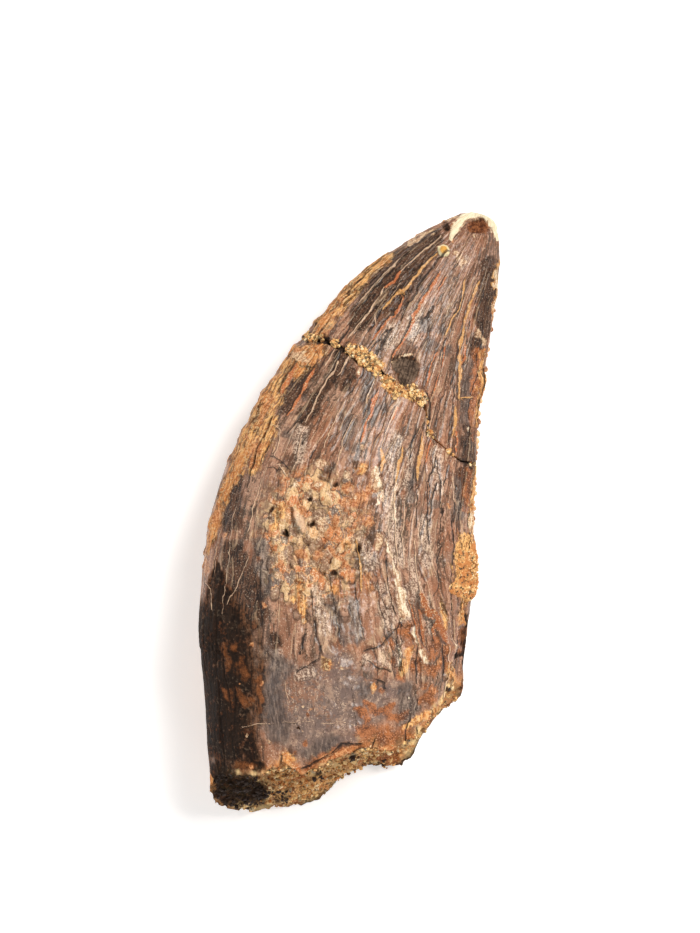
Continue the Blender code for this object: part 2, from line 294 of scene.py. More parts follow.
def runs_at_line(line, turns, on_plan=False):
    """How far along the tooth each turn crosses a line drawn across it."""
    points = body_point(FINE_STATIONS[:CROWN_STATIONS, None], turns[None, :])
    across, up = np.moveaxis(plan_of(points) * (1, -1) if on_plan else points[..., :2], -1, 0)
    below = up < np.interp(across, line[:, 0], line[:, 1] * (-1 if on_plan else 1))
    return FINE_RUNS[CROWN_STATIONS - 1 - np.argmax(below[::-1], axis=0)]


def rim_runs(turns):
    """Where the broken root ends at each turn. It slants, so the lower side is the longer one."""
    share = smoothstep(-0.2, 0.5, np.sin(turns))
    return (1 - share) * runs_at_line(LOWER_RIM, turns) + share * runs_at_line(UPPER_RIM, turns)


def girth_shares(turns, weights=1.0):
    """How far round the middle section each turn is, from 0 to 1, as measured along the section."""
    x, z = section_shape(turns, 0.5 * TIP)
    lengths = np.cumsum(np.hypot(np.diff(x), MID_FLATNESS * np.diff(z)) * weights)
    return np.concatenate([[0], lengths / lengths[-1]])


def meridians(count):
    """Turns for the columns of a mesh, closer together on the upper side, which shows more."""
    fine = np.linspace(0, 2 * np.pi, 4001)
    shares = girth_shares(fine, 1 + 0.7 * smoothstep(-0.3, 0.2, np.sin(fine[1:])))
    return np.interp(np.arange(count) / count, shares, fine)


COLUMNS = 440
TURNS = meridians(COLUMNS)
RIM = rim_runs(TURNS)
SEAM_RUNS = runs_at_line(SEAM_ON_PLAN, TURNS, on_plan=True)
print("the seam lies", round(SEAM_RUNS.min(), 1), "to", round(SEAM_RUNS.max(), 1), "mm along")

# %% [markdown]
# ## Marks, listed and placed by chance
# What makes this specimen itself is its marks: veins of calcite and iron ore in its cracks, crusts of
# sandstone, stains and pits. Each one is a stroke of a brush: a list of places on the plan, each with
# a half width, all in the plan's squares. The mesh stores how far inside a stroke each vertex lies,
# and the material breaks that edge up with noise, which keeps it crisp at any distance. Painting the
# colours themselves would only be as sharp as the mesh. The veins come first, sorted by colour.

# %% Veins and cracks
VEINS_CREAM = [
    [(318, 792, 5), (336, 782, 4)], [(300, 799, 4)], [(352, 766, 3)], [(297, 514, 5), (304, 530, 6)],
    [(441, 238, 1), (434.6, 244, 1), (427, 250, 1), (419, 257, 1.1), (411.6, 263, 1), (406.5, 267.6, 1),
     (401.4, 272.7, 1.2)],
    [(385, 289, 1), (381, 295.7, 1.1), (377, 302, 1.2), (372, 310, 1.2), (367, 316, 1.2),
     (363, 322, 1.4), (358, 327.6, 1), (352, 334, 1), (349, 339, 0.8)],
    [(401, 261, 0.8), (394, 267.6, 0.9), (386, 275, 0.9), (380, 281.6, 0.9), (373, 289, 0.9),
     (366, 297, 0.9), (360, 302.7, 0.7)], [(374.6, 315, 0.7), (376, 325, 0.7)],
    [(338, 363, 1.1), (332.7, 371, 1.2), (327.6, 379, 1.1), (322, 389, 1.1), (317, 399, 1.1),
     (312, 410.6, 1), (306, 423, 0.7)],
    [(352, 354, 1.2), (347, 361, 1.6), (341.6, 370, 1.3), (338, 373.6, 0.8)],
    [(335, 350.6, 0.9), (330, 359.5, 0.9), (326, 366, 0.8)],
    [(276.5, 427, 0.9), (281.6, 431, 1), (281, 440, 0.9), (278, 447.6, 0.8), (275, 456.5, 0.7)],
    [(302, 435, 0.8), (298, 459, 0.8), (294, 469, 0.7)],
    [(279, 464, 0.8), (283, 470.5, 1), (288, 477, 0.8)],
    [(289, 482, 0.9), (288, 490, 1), (285.5, 498.6, 0.8)], [(306.5, 470.5, 0.9), (305, 481, 0.8)],
    [(375, 380, 0.9), (368, 394, 1), (366, 403, 0.8)],
    [(396, 407, 1), (391, 419.5, 1.2), (384, 435, 1), (381, 447.6, 0.8)],
    [(434, 449, 0.7), (436, 446, 0.8), (439, 446, 0.7)],
    [(235.5, 507, 0.5), (233, 527, 0.6), (230, 554, 0.5)],
    [(230, 556, 0.6), (228, 572, 0.7), (228, 580, 0.6), (225.5, 596, 0.6), (223.5, 614, 0.4)],
    [(206, 582, 0.6), (211, 588, 0.6), (213, 602, 0.6), (215, 611, 0.5)],
    [(249, 558, 0.5), (244, 571, 0.6), (234, 594, 0.6), (229, 604.5, 0.5)],
    [(217, 549.5, 0.5), (215, 575, 0.5)], [(242.6, 727, 0.5), (257, 724, 0.6), (273, 724, 0.6)],
    [(283, 722, 0.6), (302, 722, 0.6), (311, 721, 0.5)],
    [(322, 723, 0.5), (343, 723, 0.6), (359, 726, 0.5)],
    [(285, 682, 0.6), (286, 690, 0.6), (289, 700, 0.5)],
    [(447, 647, 0.8), (448, 668, 0.9), (445, 690, 0.9), (442, 711, 0.8)],
    [(344, 402, 0.7), (333, 424, 0.8), (324, 448, 0.7)],
    [(352, 420, 0.7), (343, 440, 0.8), (338, 462, 0.7)],
    [(262, 480, 0.7), (254, 506, 0.8), (249, 532, 0.7)],
    [(405, 500, 0.8), (403, 540, 0.9), (404, 570, 0.7)],
    [(395, 470, 0.8), (394, 505, 0.9), (396, 545, 0.9), (400, 580, 0.8)],
    [(415, 540, 0.7), (417, 572, 0.8), (421, 600, 0.7)], [(452, 470, 0.7), (452, 500, 0.7)],
]
VEINS_GOLD = [
    [(436, 255, 0.9), (429.5, 262.5, 1), (422, 269, 1.2), (417, 276.5, 1.2), (411.6, 281.6, 1),
     (408, 288, 1.1), (402.7, 292, 2.6), (395, 295.7, 1), (390, 302, 0.9), (383.6, 309.7, 0.7)],
    [(465, 279, 0.7), (464, 289, 0.8), (461, 301, 0.8), (459, 310, 0.9), (452, 318.6, 0.8),
     (448.6, 327.6, 0.8), (445, 335, 0.6)],
    [(479, 281.6, 0.9), (474, 294, 1), (470, 306, 1.2), (467, 317, 1.2), (465, 327.6, 1.1),
     (463, 338, 1.3), (461, 348, 1.4), (459.5, 358, 1.2), (460.7, 371, 1.4), (459.5, 382, 1.3),
     (458.8, 398, 1)], [(455, 407, 0.9), (455, 422, 1.4), (453, 435, 0.9)],
    [(460, 398, 0.7), (464, 397.6, 0.8), (469, 397.6, 0.7)],
    [(380, 450, 1.2), (383, 461, 2.2), (380.6, 471, 1.2)],
    [(402, 449, 1), (401, 457, 1.5), (398, 464.6, 1.7), (397, 475, 1.3), (395, 482, 0.9)],
    [(423, 435, 1), (423, 449, 1.9), (420, 459.5, 1.9), (419, 468, 1.6), (418, 480, 1.1)],
    [(356, 540, 0.8), (360, 566, 0.9), (361, 590, 0.7)],
]
VEINS_ORANGE = [
    [(401.4, 272.7, 1.2), (399, 276.5, 1.5), (396, 281, 1.4), (391, 285.5, 1.4), (385, 289, 1)],
    [(439.7, 272.7, 0.9), (434.6, 281.6, 1.3), (429.5, 290.6, 1.5), (424, 298, 1.5), (419, 307, 1.4),
     (414, 316, 1.5), (413, 322, 1.4), (409, 330, 1.4), (405, 338, 1.3), (401, 345, 1), (396, 350.5, 1),
     (392.5, 357, 0.8)],
    [(403, 298, 0.8), (399, 308, 1.1), (394, 316, 1.3), (387, 322, 1.2), (382, 329, 1),
     (377, 336.5, 0.9), (374, 340, 0.6)], [(445, 278, 0.7), (442, 284, 0.8), (438, 289, 0.6)],
    [(465, 347, 0.8), (464, 359, 0.9), (460, 366, 0.8)],
    [(436, 354, 0.8), (431, 363, 0.9), (428, 371, 1), (427, 381, 0.8)],
    [(445, 347, 0.7), (443.5, 361, 0.8), (441, 368, 0.7)],
    [(438, 376, 0.9), (436, 385, 1), (433, 394, 0.9)], [(457, 431, 0.8), (456, 452, 0.8)],
    [(298, 366, 1.6), (289, 380, 2.2), (283.5, 392.7, 1.6)],
    [(315, 370, 1.3), (311, 377, 1.8), (306, 386, 1.7), (301, 396.5, 1.4), (297, 404, 1.4),
     (294, 410.6, 1), (289, 417, 0.7)],
    [(378.6, 391, 1), (373.5, 401.6, 1.8), (371, 413, 1.6), (367, 421, 1.1), (364.5, 431, 1.4),
     (361, 442, 1)], [(397, 408.5, 0.8), (393, 419, 0.8)],
    [(432, 440, 0.8), (430, 452, 0.9), (428, 462, 0.7)],
]
VEINS_RUST = [
    [(420, 593, 1.6), (424, 604, 4), (429, 615, 3)], [(433, 611, 1.6), (438, 626, 3.6), (444, 640, 2)],
    [(432, 627, 0.9), (432.6, 638.6, 1)], [(444, 608, 0.8), (446.6, 616, 0.8)],
    [(418, 612, 0.9), (421, 628, 1), (424, 645, 0.9)],
    [(410, 600, 0.7), (414, 622, 0.8), (417, 640, 0.8)],
]
VEINS_DARK = [
    [(439, 459.5, 0.8), (440, 475, 0.9), (440.6, 487.6, 0.9), (440, 509, 0.7)],
    [(428.4, 482, 0.7), (429, 504, 0.8), (428.4, 523, 0.8), (429.7, 544, 0.7)],
    [(417.6, 481, 0.7), (418, 495, 0.8), (417.6, 513, 0.8), (417, 528, 0.7)],
    [(271, 456, 0.8), (276.5, 458, 1), (283, 461.6, 1), (288, 467, 1), (292.5, 470.5, 0.8)],
    [(269, 468, 0.8), (274, 467, 1), (278, 470.5, 0.8)],
    [(297, 671, 0.9), (306.5, 666, 1.2), (318.6, 659, 1.2), (320.6, 647, 0.9)],
    [(351, 680, 0.3), (353, 704, 0.4), (356, 726, 0.3)],
    [(441, 645, 0.8), (443, 668, 0.9), (440, 690, 0.8)],
    [(364, 651, 0.9), (377.5, 646, 1.2), (383.5, 643, 1.2), (396, 628.7, 0.9)],
    [(368, 661, 0.8), (381, 668.7, 1.1), (389, 671, 0.9)],
    [(376.5, 679, 0.8), (383.5, 682, 1.1), (385, 689, 0.8)],
    [(302, 768, 1.3), (329, 755, 1.6), (341.5, 744, 1.6), (359, 743, 1.2)],
    [(426, 392, 1.2), (431, 404, 1.6), (431, 420, 1.6), (428, 434, 1.2)],
    [(451, 512, 0.7), (452, 545, 0.8), (449, 580, 0.8), (450, 610, 0.6)],
    [(330, 575, 0.6), (334, 605, 0.7), (340, 636, 0.5)],
    [(311, 590, 0.6), (314, 620, 0.8), (319, 650, 0.7)],
    [(355, 582, 0.7), (358, 612, 0.8), (364, 640, 0.7)],
    [(386, 560, 0.7), (389, 590, 0.9), (396, 615, 0.7)],
    [(263, 560, 0.7), (260, 590, 0.8), (263, 625, 0.7)],
]
print(len(VEINS_CREAM + VEINS_GOLD + VEINS_ORANGE + VEINS_RUST + VEINS_DARK), "veins and cracks")

# %% [markdown]
# Stains and crusts are broader strokes, and many are single dabs. Ochre, orange and sand are crusts,
# and rust is iron. Peat is the brown stain of old groundwater, which follows the fibres. Dark is the
# black stain on the root, with painted shade where the lower left side turns away from the lamp and
# in pits and hollows. Cream is calcite, and bright is calcite with painted highlights. Slate is bare,
# worn enamel, and grey is too, with a painted sheen on it.

# %% Stains and crusts
OCHRE = [
    [(482, 350, 2), (480, 372, 3.5), (478, 398, 3.5), (476, 424, 3)],
    [(474, 470, 3), (471, 500, 3), (472, 520, 4)], [(272, 422, 8), (262, 450, 9), (252, 470, 7)],
    [(296, 352, 8), (306, 357, 11)], [(495, 262, 2), (493, 320, 2)],
    [(388, 258, 6), (372, 270, 7), (352, 289, 9), (334, 310, 11), (320, 330, 9)],
    [(322, 350, 8), (306, 356, 14), (292, 368, 14)],
    [(282, 382, 11), (268, 402, 12), (256, 424, 12), (246, 444, 13), (236, 464, 9), (226, 490, 5),
     (217, 520, 5), (210, 552, 4)], [(211, 775, 2.5), (214, 790, 2.5)], [(288, 757, 8)],
    [(283, 772, 12), (284, 792, 10)], [(298, 792, 12), (316, 788, 13), (330, 780, 8)],
    [(404, 728, 3), (420, 720, 4), (433, 711, 4)], [(411, 747, 4)], [(327, 664, 7)], [(375, 687, 5)],
    [(452, 676, 8), (449, 668, 6)], [(470, 512, 3), (471, 530, 4)], [(462, 600, 5), (459, 622, 3)],
    [(300, 580, 4), (302, 604, 4), (304, 620, 3)], [(283, 508, 5), (276, 528, 5)], [(345, 545, 6)],
    [(362, 470, 6)], [(294, 600, 5)], [(335, 590, 5)], [(410, 650, 4), (402, 672, 4)],
    [(440, 600, 3), (444, 630, 3)],
]
SAND = [
    [(463, 540, 10), (462, 560, 14), (465, 580, 13), (465, 594, 8)],
    [(352, 350, 5), (364, 357, 9), (376, 368, 9)], [(388, 384, 7), (398, 392, 6)],
    [(411, 394, 8), (421, 399, 6)],
]
ORANGE = [
    [(257, 447, 7), (252, 466, 5)], [(219, 512, 4), (218, 521, 4)], [(226, 536, 4)],
    [(208, 562, 4), (207, 573, 3)], [(345, 503, 7), (358, 500, 8), (372, 488, 7)],
    [(335, 518, 5), (335, 530, 5)], [(366, 521, 8)], [(301, 555, 6)], [(318, 556, 6)],
    [(329, 548, 3), (351, 572, 3)], [(366, 577, 5), (370, 590, 5)], [(273, 502, 4)], [(346, 489, 5)],
    [(318.6, 487, 6)], [(448, 506, 2)], [(240, 684, 1.5)], [(254, 645, 2.5)], [(265, 607, 3)],
    [(450, 239, 3)], [(305, 512, 4)], [(326, 540, 4)], [(292, 697.5, 2)], [(311, 709.5, 2)],
    [(439, 662, 4)], [(281, 788, 4)], [(434, 690, 3)], [(356, 497, 6)], [(262, 684, 3)],
    [(272, 400, 4), (262, 418, 4)], [(247, 436, 3)], [(300, 352, 4)], [(342, 302, 3)], [(253, 768, 3)],
    [(320, 762, 4), (345, 750, 4)], [(372, 752, 5), (392, 752, 4)], [(476, 560, 3), (474, 575, 3)],
]
CREAM = [
    [(464, 218, 4), (472, 214.5, 4), (480, 214, 4), (489, 219, 4), (494, 227, 3), (496, 237, 2.5)],
    [(466, 219, 3.5), (459, 226, 4), (454, 232, 3.4)], [(448, 221, 2.6), (459, 218.5, 3)],
    [(424, 236, 2), (434, 231, 2.5)], [(409, 245, 1.5), (422, 236, 2)], [(475, 237, 2)],
    [(457, 256, 4), (462, 262, 5)], [(495, 270, 1.8), (495, 300, 1.8), (493, 325, 1.8)],
    [(477, 331, 3), (483, 344, 2.5)], [(391, 364, 1.5), (402, 356, 1.8), (413, 355, 1.5)],
    [(361, 370.5, 3)], [(429, 434, 3)], [(420, 429, 2)], [(424, 396, 2.5)],
    [(307, 361, 5), (296, 356, 4)], [(361, 447.6, 3)], [(318.6, 487, 3.5)], [(320, 465, 6)],
    [(347, 478, 5)], [(374, 472, 4), (377, 490, 5)], [(297, 486, 3)], [(300, 522, 7), (299, 535, 5)],
    [(322, 522, 5), (321, 533, 5)], [(378, 537, 4), (378, 545, 4)], [(283, 557, 4)], [(281, 577, 5)],
    [(280, 540, 2.5)], [(349, 508, 3)], [(360, 528, 3)], [(471, 512, 3), (471, 532, 4)], [(464, 584, 6)],
    [(301.6, 705.5, 2.5)], [(301.6, 729, 1.6)], [(341, 669, 2.5)], [(311, 529, 1.6)], [(247, 736, 1.6)],
    [(262, 748, 1.6)], [(270, 742, 3)], [(453, 646, 4)], [(250, 804, 3)], [(304, 619, 2.5)],
    [(421, 653, 4)], [(400, 590, 3), (401, 615, 3)], [(413, 628, 3)], [(383, 498, 3)], [(330, 495, 4)],
    [(352, 520, 4)], [(295, 548, 3)], [(338, 548, 4)], [(489, 360, 2), (486, 382, 2), (484, 400, 2)],
    [(310, 520, 4)], [(344, 570, 3)], [(352, 498, 3)], [(284, 520, 3)],
]
# Bright calcite flakes, with painted highlights among them.
BRIGHT_AND_HIGHLIGHTS = [
    [(465, 216, 2.5), (473, 213, 3), (481, 213.5, 3), (489, 218, 3), (494, 226, 2), (496, 236, 1.6)],
    [(464, 219, 2), (458, 226, 2.2), (454, 232, 1.6)], [(361, 370.5, 2)], [(429, 434, 2.4)],
    [(420, 429, 1.4)], [(424, 396, 1.6)], [(376, 470, 2.5), (377, 486, 3)],
    [(380, 492, 2), (379, 503, 1.5)], [(299, 514, 2.5), (297, 530, 2.5)], [(320, 520, 2)],
    [(301.6, 705.5, 2)], [(341, 668, 2)], [(337, 664, 1.5)], [(467, 429, 2)], [(409, 697, 1.5)],
    [(312, 529, 1.2)], [(393, 562, 2), (399, 588, 4.5), (407, 614, 4)], [(413, 631, 4), (418, 645, 3)],
    [(419, 652, 3), (425, 661, 3)], [(398, 650, 2), (400, 664, 2)], [(396, 480, 1.5), (394, 520, 1.5)],
    [(386, 540, 1.5), (390, 556, 1.5)], [(304, 619, 1.5)], [(475, 237, 1.5)], [(453, 645, 2)],
    [(470, 515, 1.6), (470, 526, 1.4)], [(495, 268, 1.2), (495, 290, 1.2)], [(318.6, 487, 2)],
    [(346, 474, 2)], [(404, 356, 1.2), (412, 354.5, 1.2)], [(283, 470, 1.2), (287, 476, 1.2)],
    [(412, 632, 1.5)], [(296, 486, 1.5)], [(266, 741, 1.5)],
]
SLATE = [
    [(405, 716, 9), (412, 700, 8)], [(262, 545, 9), (258, 580, 10), (256, 612, 8)],
    [(270, 680, 14), (272, 722, 12)], [(473, 345, 6), (468, 385, 7), (465, 425, 7)],
    [(466, 440, 7), (465, 458, 7)], [(459, 480, 6), (458, 515, 6)], [(366, 376, 7), (370, 420, 7)],
    [(378, 350, 5)], [(426, 324, 7)], [(422, 290, 6)], [(418, 283, 5)], [(451, 279, 3)], [(441, 330, 7)],
    [(430, 345, 8)], [(447, 350, 6)], [(398, 364, 8), (409, 366, 9), (406, 378, 9)], [(383, 408, 5)],
    [(350, 424, 6), (345, 446, 6)], [(413, 470, 5), (411, 500, 5)], [(270, 650, 10), (283, 672, 10)],
    [(405, 692, 10), (414, 706, 8)], [(330, 600, 6), (344, 640, 7)], [(262, 430, 4)], [(288, 436, 6)],
    [(302, 398, 6)], [(366, 366, 4)], [(436, 505, 5)], [(352, 600, 6), (357, 640, 6)],
    [(270, 560, 5), (268, 590, 6)], [(275, 700, 12), (280, 735, 12)], [(240, 545, 6)], [(366, 690, 9)],
    [(332, 745, 12), (310, 755, 8)], [(284, 500, 4)], [(356, 448, 5)], [(385, 640, 5)],
]
RUST = [
    [(391, 641, 3), (391, 662, 3)], [(404, 628, 5), (409, 636, 4)], [(414, 666, 7), (432, 670, 7)],
    [(367, 704, 3.5), (378, 713, 4), (393, 706, 3.5)],
    [(362, 730, 9), (376, 738, 14), (396, 742, 14), (408, 732, 9)], [(358, 708, 4), (366, 718, 6)],
    [(388, 716, 5), (404, 716, 4)], [(310, 716, 3)], [(424, 700, 5), (432, 690, 5)],
    [(240, 660, 5), (244, 676, 6)], [(236, 648, 4)], [(250, 700, 5)], [(296, 752, 3)],
    [(430, 655, 5), (436, 640, 5)], [(258, 685, 4)], [(430, 700, 5)], [(382, 690, 3)], [(400, 676, 6)],
    [(445, 648, 4), (441, 668, 5)], [(422, 684, 5)], [(482, 355, 4), (478, 366, 4)], [(420, 612, 3)],
    [(476, 352, 5), (474, 385, 5), (471, 420, 4)], [(466, 470, 4), (464, 510, 4)],
    [(384, 640, 2.5), (388, 656, 3)], [(401, 623, 4), (409, 631, 4)], [(424, 668, 7), (434, 668, 5)],
    [(226, 645, 3), (229, 668, 3)], [(256, 680, 5), (262, 700, 3)], [(228, 690, 3), (232, 706, 3)],
    [(250, 769, 7), (240, 766, 5)],
    [(306, 767, 4), (318, 762, 6), (332, 755, 6), (346, 749, 6), (360, 747, 6)], [(452, 694, 5)],
    [(306, 742, 3)], [(470, 380, 3), (472, 440, 3)], [(300, 775, 4)], [(258, 560, 4)],
    [(462, 630, 3), (460, 650, 3)], [(372, 754, 7), (396, 755, 6)], [(236, 690, 4), (246, 704, 3)],
]
PEAT = [
    [(434, 238, 8), (420, 254, 14), (400, 276, 20), (386, 295, 20), (368, 312, 13), (358, 325, 7)],
    [(487, 262, 5), (486, 290, 7), (482, 328, 7), (474, 352, 5)],
    [(468, 430, 6), (467, 468, 6), (466, 502, 5)], [(308, 372, 10), (298, 388, 9), (286, 406, 8)],
    [(281.6, 384, 4)], [(248.5, 433.5, 4)], [(259, 414, 4)], [(242, 455, 4)],
    [(234, 476, 8), (230, 500, 10), (231, 520, 11)], [(344, 356, 8), (336, 370, 8), (328, 386, 6)],
    [(318, 396, 6), (306, 420, 7)], [(352, 372, 5), (346, 386, 5)], [(472, 346, 4)],
    [(234, 552, 10), (244, 584, 14), (252, 616, 14)], [(276, 640, 7)],
]
# Near black: the black stain of the root, and painted shade on the lower left side, which turns away from the
# lamp, and in pits and hollows.
DARK_STAIN_AND_SHADE = [
    [(478, 225, 7), (484, 225, 6)], [(447, 229, 4)], [(469, 229, 3)],
    [(398, 363, 8), (409, 365, 8), (406, 378, 8)], [(310, 338, 5), (326, 341, 5)], [(336, 484, 3)],
    [(311, 500, 3)], [(273, 510, 3)], [(312, 525, 3.5)], [(286, 533, 2.5)], [(358, 548, 4)],
    [(334.6, 574, 4)], [(220, 566, 4), (220, 584, 9), (222, 602, 15), (226, 624, 25)],
    [(238, 764, 6), (260, 766, 6)], [(244, 738, 15), (252, 754, 11)],
    [(230, 640, 28), (230, 680, 32), (228, 715, 30), (230, 745, 24)], [(210, 620, 20), (210, 740, 20)],
    [(222, 650, 22), (220, 720, 22)], [(318, 775, 5)], [(222, 770, 14), (228, 792, 16)],
    [(244, 787, 15), (254, 792, 13)], [(281, 797, 7)], [(458, 654, 3)], [(463, 615, 3), (464, 655, 3)],
    [(298.4, 728, 2)], [(448, 690, 3)], [(380, 760, 3)], [(352, 757, 3)],
]
# Bare, worn enamel, with a painted sheen on it.
GREY_AND_SHEEN = [
    [(382, 650, 6), (384, 664, 6)], [(395, 640, 7), (396, 660, 7)], [(410, 706, 9), (404, 716, 7)],
    [(278, 652, 6), (277, 668, 6)], [(300, 674, 7), (312, 672, 6)], [(372, 709, 2.5)], [(366, 327.6, 4)],
    [(264, 544, 6), (262, 580, 6)], [(352, 600, 5), (357, 636, 6)],
    [(396, 440, 8), (390, 500, 8), (398, 560, 9)], [(414, 560, 6), (416, 600, 7)],
    [(402, 590, 8), (404, 620, 8)], [(384, 590, 9), (388, 625, 9)], [(362, 545, 7), (374, 565, 7)],
    [(425, 600, 6), (430, 630, 6)], [(418, 312, 9), (410, 336, 9)], [(394, 330, 8), (388, 345, 6)],
    [(410, 450, 5), (408, 500, 6)], [(315, 590, 6), (326, 630, 7)], [(302, 430, 8), (300, 460, 7)],
    [(462, 262, 7)], [(384, 380, 5)], [(440, 450, 6), (438, 490, 6)], [(424, 520, 6), (426, 560, 6)],
    [(366, 660, 6)],
]
print(sum(map(len, (OCHRE, SAND, ORANGE, CREAM, BRIGHT_AND_HIGHLIGHTS, SLATE, RUST, PEAT, DARK_STAIN_AND_SHADE, GREY_AND_SHEEN))), "stains")

# %% [markdown]
# The last strokes shape the surface as well as colour it: the root where its skin is bare, plates of
# enamel with steps round them, the worn window in the tip with a cream arch over it, a round spot of
# calcite, sand heaped in the break, a smooth facet beside it, and the pits and lumps of the rotten
# middle.

# %% Places that stand out or sink in
BARE_ROOT = [
    [(322, 694, 36), (314, 733, 32)], [(356, 702, 34), (344, 732, 24)], [(394, 694, 20), (380, 706, 16)],
    [(282, 672, 18), (280, 728, 16)], [(338, 668, 20)],
]
PLATES = [
    [(379, 648, 5), (384, 664, 6)], [(394, 636, 6), (396, 660, 6)],
    [(395, 570, 4), (401, 596, 6), (409, 622, 6)], [(414, 631, 5), (419, 646, 6), (425, 660, 5)],
    [(296, 352, 7), (308, 356, 11)], [(302, 674, 6), (312, 672, 5)],
]
WINDOW = [[(473, 227, 7.5), (485, 227, 8)]]
ARCH = [
    [(450, 240, 2), (456, 230, 3.2), (463, 220, 3.4), (471, 215.5, 2.6), (481, 214, 2.6),
     (489, 218, 2.8), (494.5, 227, 2.2), (496, 240, 1.4)],
]
ROUND_SPOT = [[(443.5, 252.3, 6.4)]]
HEAPS = [
    [(352, 348, 6), (364, 355, 11), (374, 364, 11)], [(388, 383, 9), (397, 392, 9)],
    [(411, 392, 9), (421, 398, 8)], [(336, 343, 4)], [(304, 335, 6), (312, 338, 4)], [(322, 337, 3)],
    [(451, 452, 3)], [(430, 434, 4)],
]
FACET = [[(399, 365, 8), (410, 367, 8), (407, 378, 9)]]
PITS = [
    [(311, 500, 5)], [(336, 484, 4)], [(273, 511, 3)], [(312, 525, 3)], [(286, 533, 4)], [(358, 548, 4)],
    [(334.6, 574, 3)], [(298.4, 728, 2)], [(291, 512, 3)], [(325, 505, 3)], [(341, 536, 3)],
    [(309, 545, 3)], [(408.7, 396.4, 2)], [(389, 384, 2)], [(429, 419, 2)], [(355, 465, 3)],
    [(327, 476, 3)], [(346, 554, 3)], [(290, 566, 3)], [(306, 573, 3)], [(322, 573, 3)], [(370, 540, 3)],
]
LUMPS = [
    [(318.6, 487, 10)], [(320, 465, 10)], [(347, 478, 8)], [(360, 500, 10)], [(376, 484, 8)],
    [(300, 522, 9)], [(322, 526, 7)], [(366, 521, 10)], [(335, 524, 7)], [(301, 555, 7)], [(318, 556, 7)],
    [(283, 558, 8)], [(281, 577, 8)], [(378, 540, 7)], [(340, 560, 9)], [(368, 584, 8)],
    [(443.5, 252.3, 6.4)], [(327, 665, 9)], [(402.7, 292, 3)], [(297, 486, 5)], [(350, 507, 6)],
    [(300, 596, 6)], [(247, 803, 9)], [(284, 778, 12)], [(284, 795, 10)], [(316, 787, 9)],
    [(452, 648, 8)], [(452, 676, 9)], [(452, 698, 8)], [(360, 757, 7)], [(388, 760, 8)], [(406, 752, 7)],
    [(248, 768, 7)], [(272, 540, 7)], [(310, 538, 5)], [(292, 508, 5)], [(349, 528, 6)], [(354, 560, 6)],
    [(326, 588, 6)], [(312, 612, 6)], [(344, 616, 6)], [(284, 600, 6)], [(264, 520, 6)], [(270, 484, 7)],
    [(240, 786, 9), (254, 790, 9)],
]
print(len(PITS), "pits and", len(LUMPS), "lumps")

# %% [markdown]
# A place is inside a stroke where it lies nearer to the stroke's line than the half width there. For
# a vein, the side matters too, because it is shaded on one side only, as a raised thread of calcite
# is in the light of one strong lamp.

# %% Reading strokes back at any place
def along_stroke(places, stroke, reach):
    """Which plan places lie near a stroke, how far to one side of it, and its half width there."""
    stroke = np.array(stroke, float)
    low, high = stroke[:, :2].min(axis=0) - reach, stroke[:, :2].max(axis=0) + reach
    near = np.nonzero(((places > low) & (places < high)).all(axis=-1))[0]
    aside, half = np.full(len(near), np.inf), np.ones(len(near))
    ends = stroke[1:] if len(stroke) > 1 else stroke
    for start, end in zip(stroke, ends):
        step = end[:2] - start[:2]
        share = np.clip((places[near] - start[:2]) @ step / max(step @ step, 1e-9), 0, 1)
        off = places[near] - start[:2] - share[:, None] * step
        distance = np.hypot(off[:, 0], off[:, 1])
        left = step[0] * off[:, 1] - step[1] * off[:, 0] < 0
        closer = distance < np.abs(aside)
        aside = np.where(closer, np.where(left, -distance, distance), aside)
        half = np.where(closer, start[2] + share * (end[2] - start[2]), half)
    return near, aside, half


def inside(plan, strokes):
    """How far inside the nearest stroke each place is: 1 on its line, 0 at its edge, -1 well off it."""
    places = plan.reshape(-1, 2)
    found = np.full(len(places), -1.0)
    for stroke in strokes:
        near, aside, half = along_stroke(places, stroke, 2 * max(dot[2] for dot in stroke))
        found[near] = np.maximum(found[near], 1 - np.abs(aside) / half)
    return found.reshape(plan.shape[:-1])


print("the worn window at two places:", inside(np.array([(479, 227), (479, 250)]), WINDOW).round(2))

# %% [markdown]
# A place takes the tone of the vein it lies nearest to, counted in half widths. Golden, orange and
# rusty veins keep the width of their strokes. Cream and dark ones are hair-thin, so they are drawn
# slimmer than their strokes.

# %% Reading the veins
CREAM_TONE, GOLD_TONE, ORANGE_TONE, RUST_TONE, DARK_TONE = 0.0, 0.4, 0.7, 1.0, -1.0
FINE_VEIN, STAINED_VEIN = 0.58, 1.0
VEIN_REACH = 6
FAR_ASIDE = 9.0
VEINS = [(DARK_TONE, VEINS_DARK), (RUST_TONE, VEINS_RUST), (ORANGE_TONE, VEINS_ORANGE),
         (GOLD_TONE, VEINS_GOLD), (CREAM_TONE, VEINS_CREAM)]


def read_veins(plan, side, tone):
    """Draws the listed veins into side, how far off the nearest is in half widths, and tone."""
    places, side, tone = plan.reshape(-1, 2), side.reshape(-1), tone.reshape(-1)
    for colour, veins in VEINS:
        for vein in veins:
            near, aside, half = along_stroke(places, vein, VEIN_REACH)
            ratio = aside / (half * (STAINED_VEIN if GOLD_TONE <= colour else FINE_VEIN))
            closer = np.abs(ratio) < np.abs(side[near])
            side[near[closer]] = ratio[closer]
            tone[near[closer]] = colour


print({tone: len(veins) for tone, veins in VEINS}, "veins of each tone")


# %% Smooth noise
def rough(points, size, seed):
    """Smooth noise at each point, from about -1 to 1, with lumps of the given size."""
    places = points / np.array(size) + np.array((seed, 2.3 * seed, 0.7 * seed))
    values = [noise.noise(place) for place in places.reshape(-1, 3).tolist()]
    return np.array(values).reshape(points.shape[:-1])


print("smooth noise at three places:", rough(np.eye(3), 1.0, 1.0).round(2))

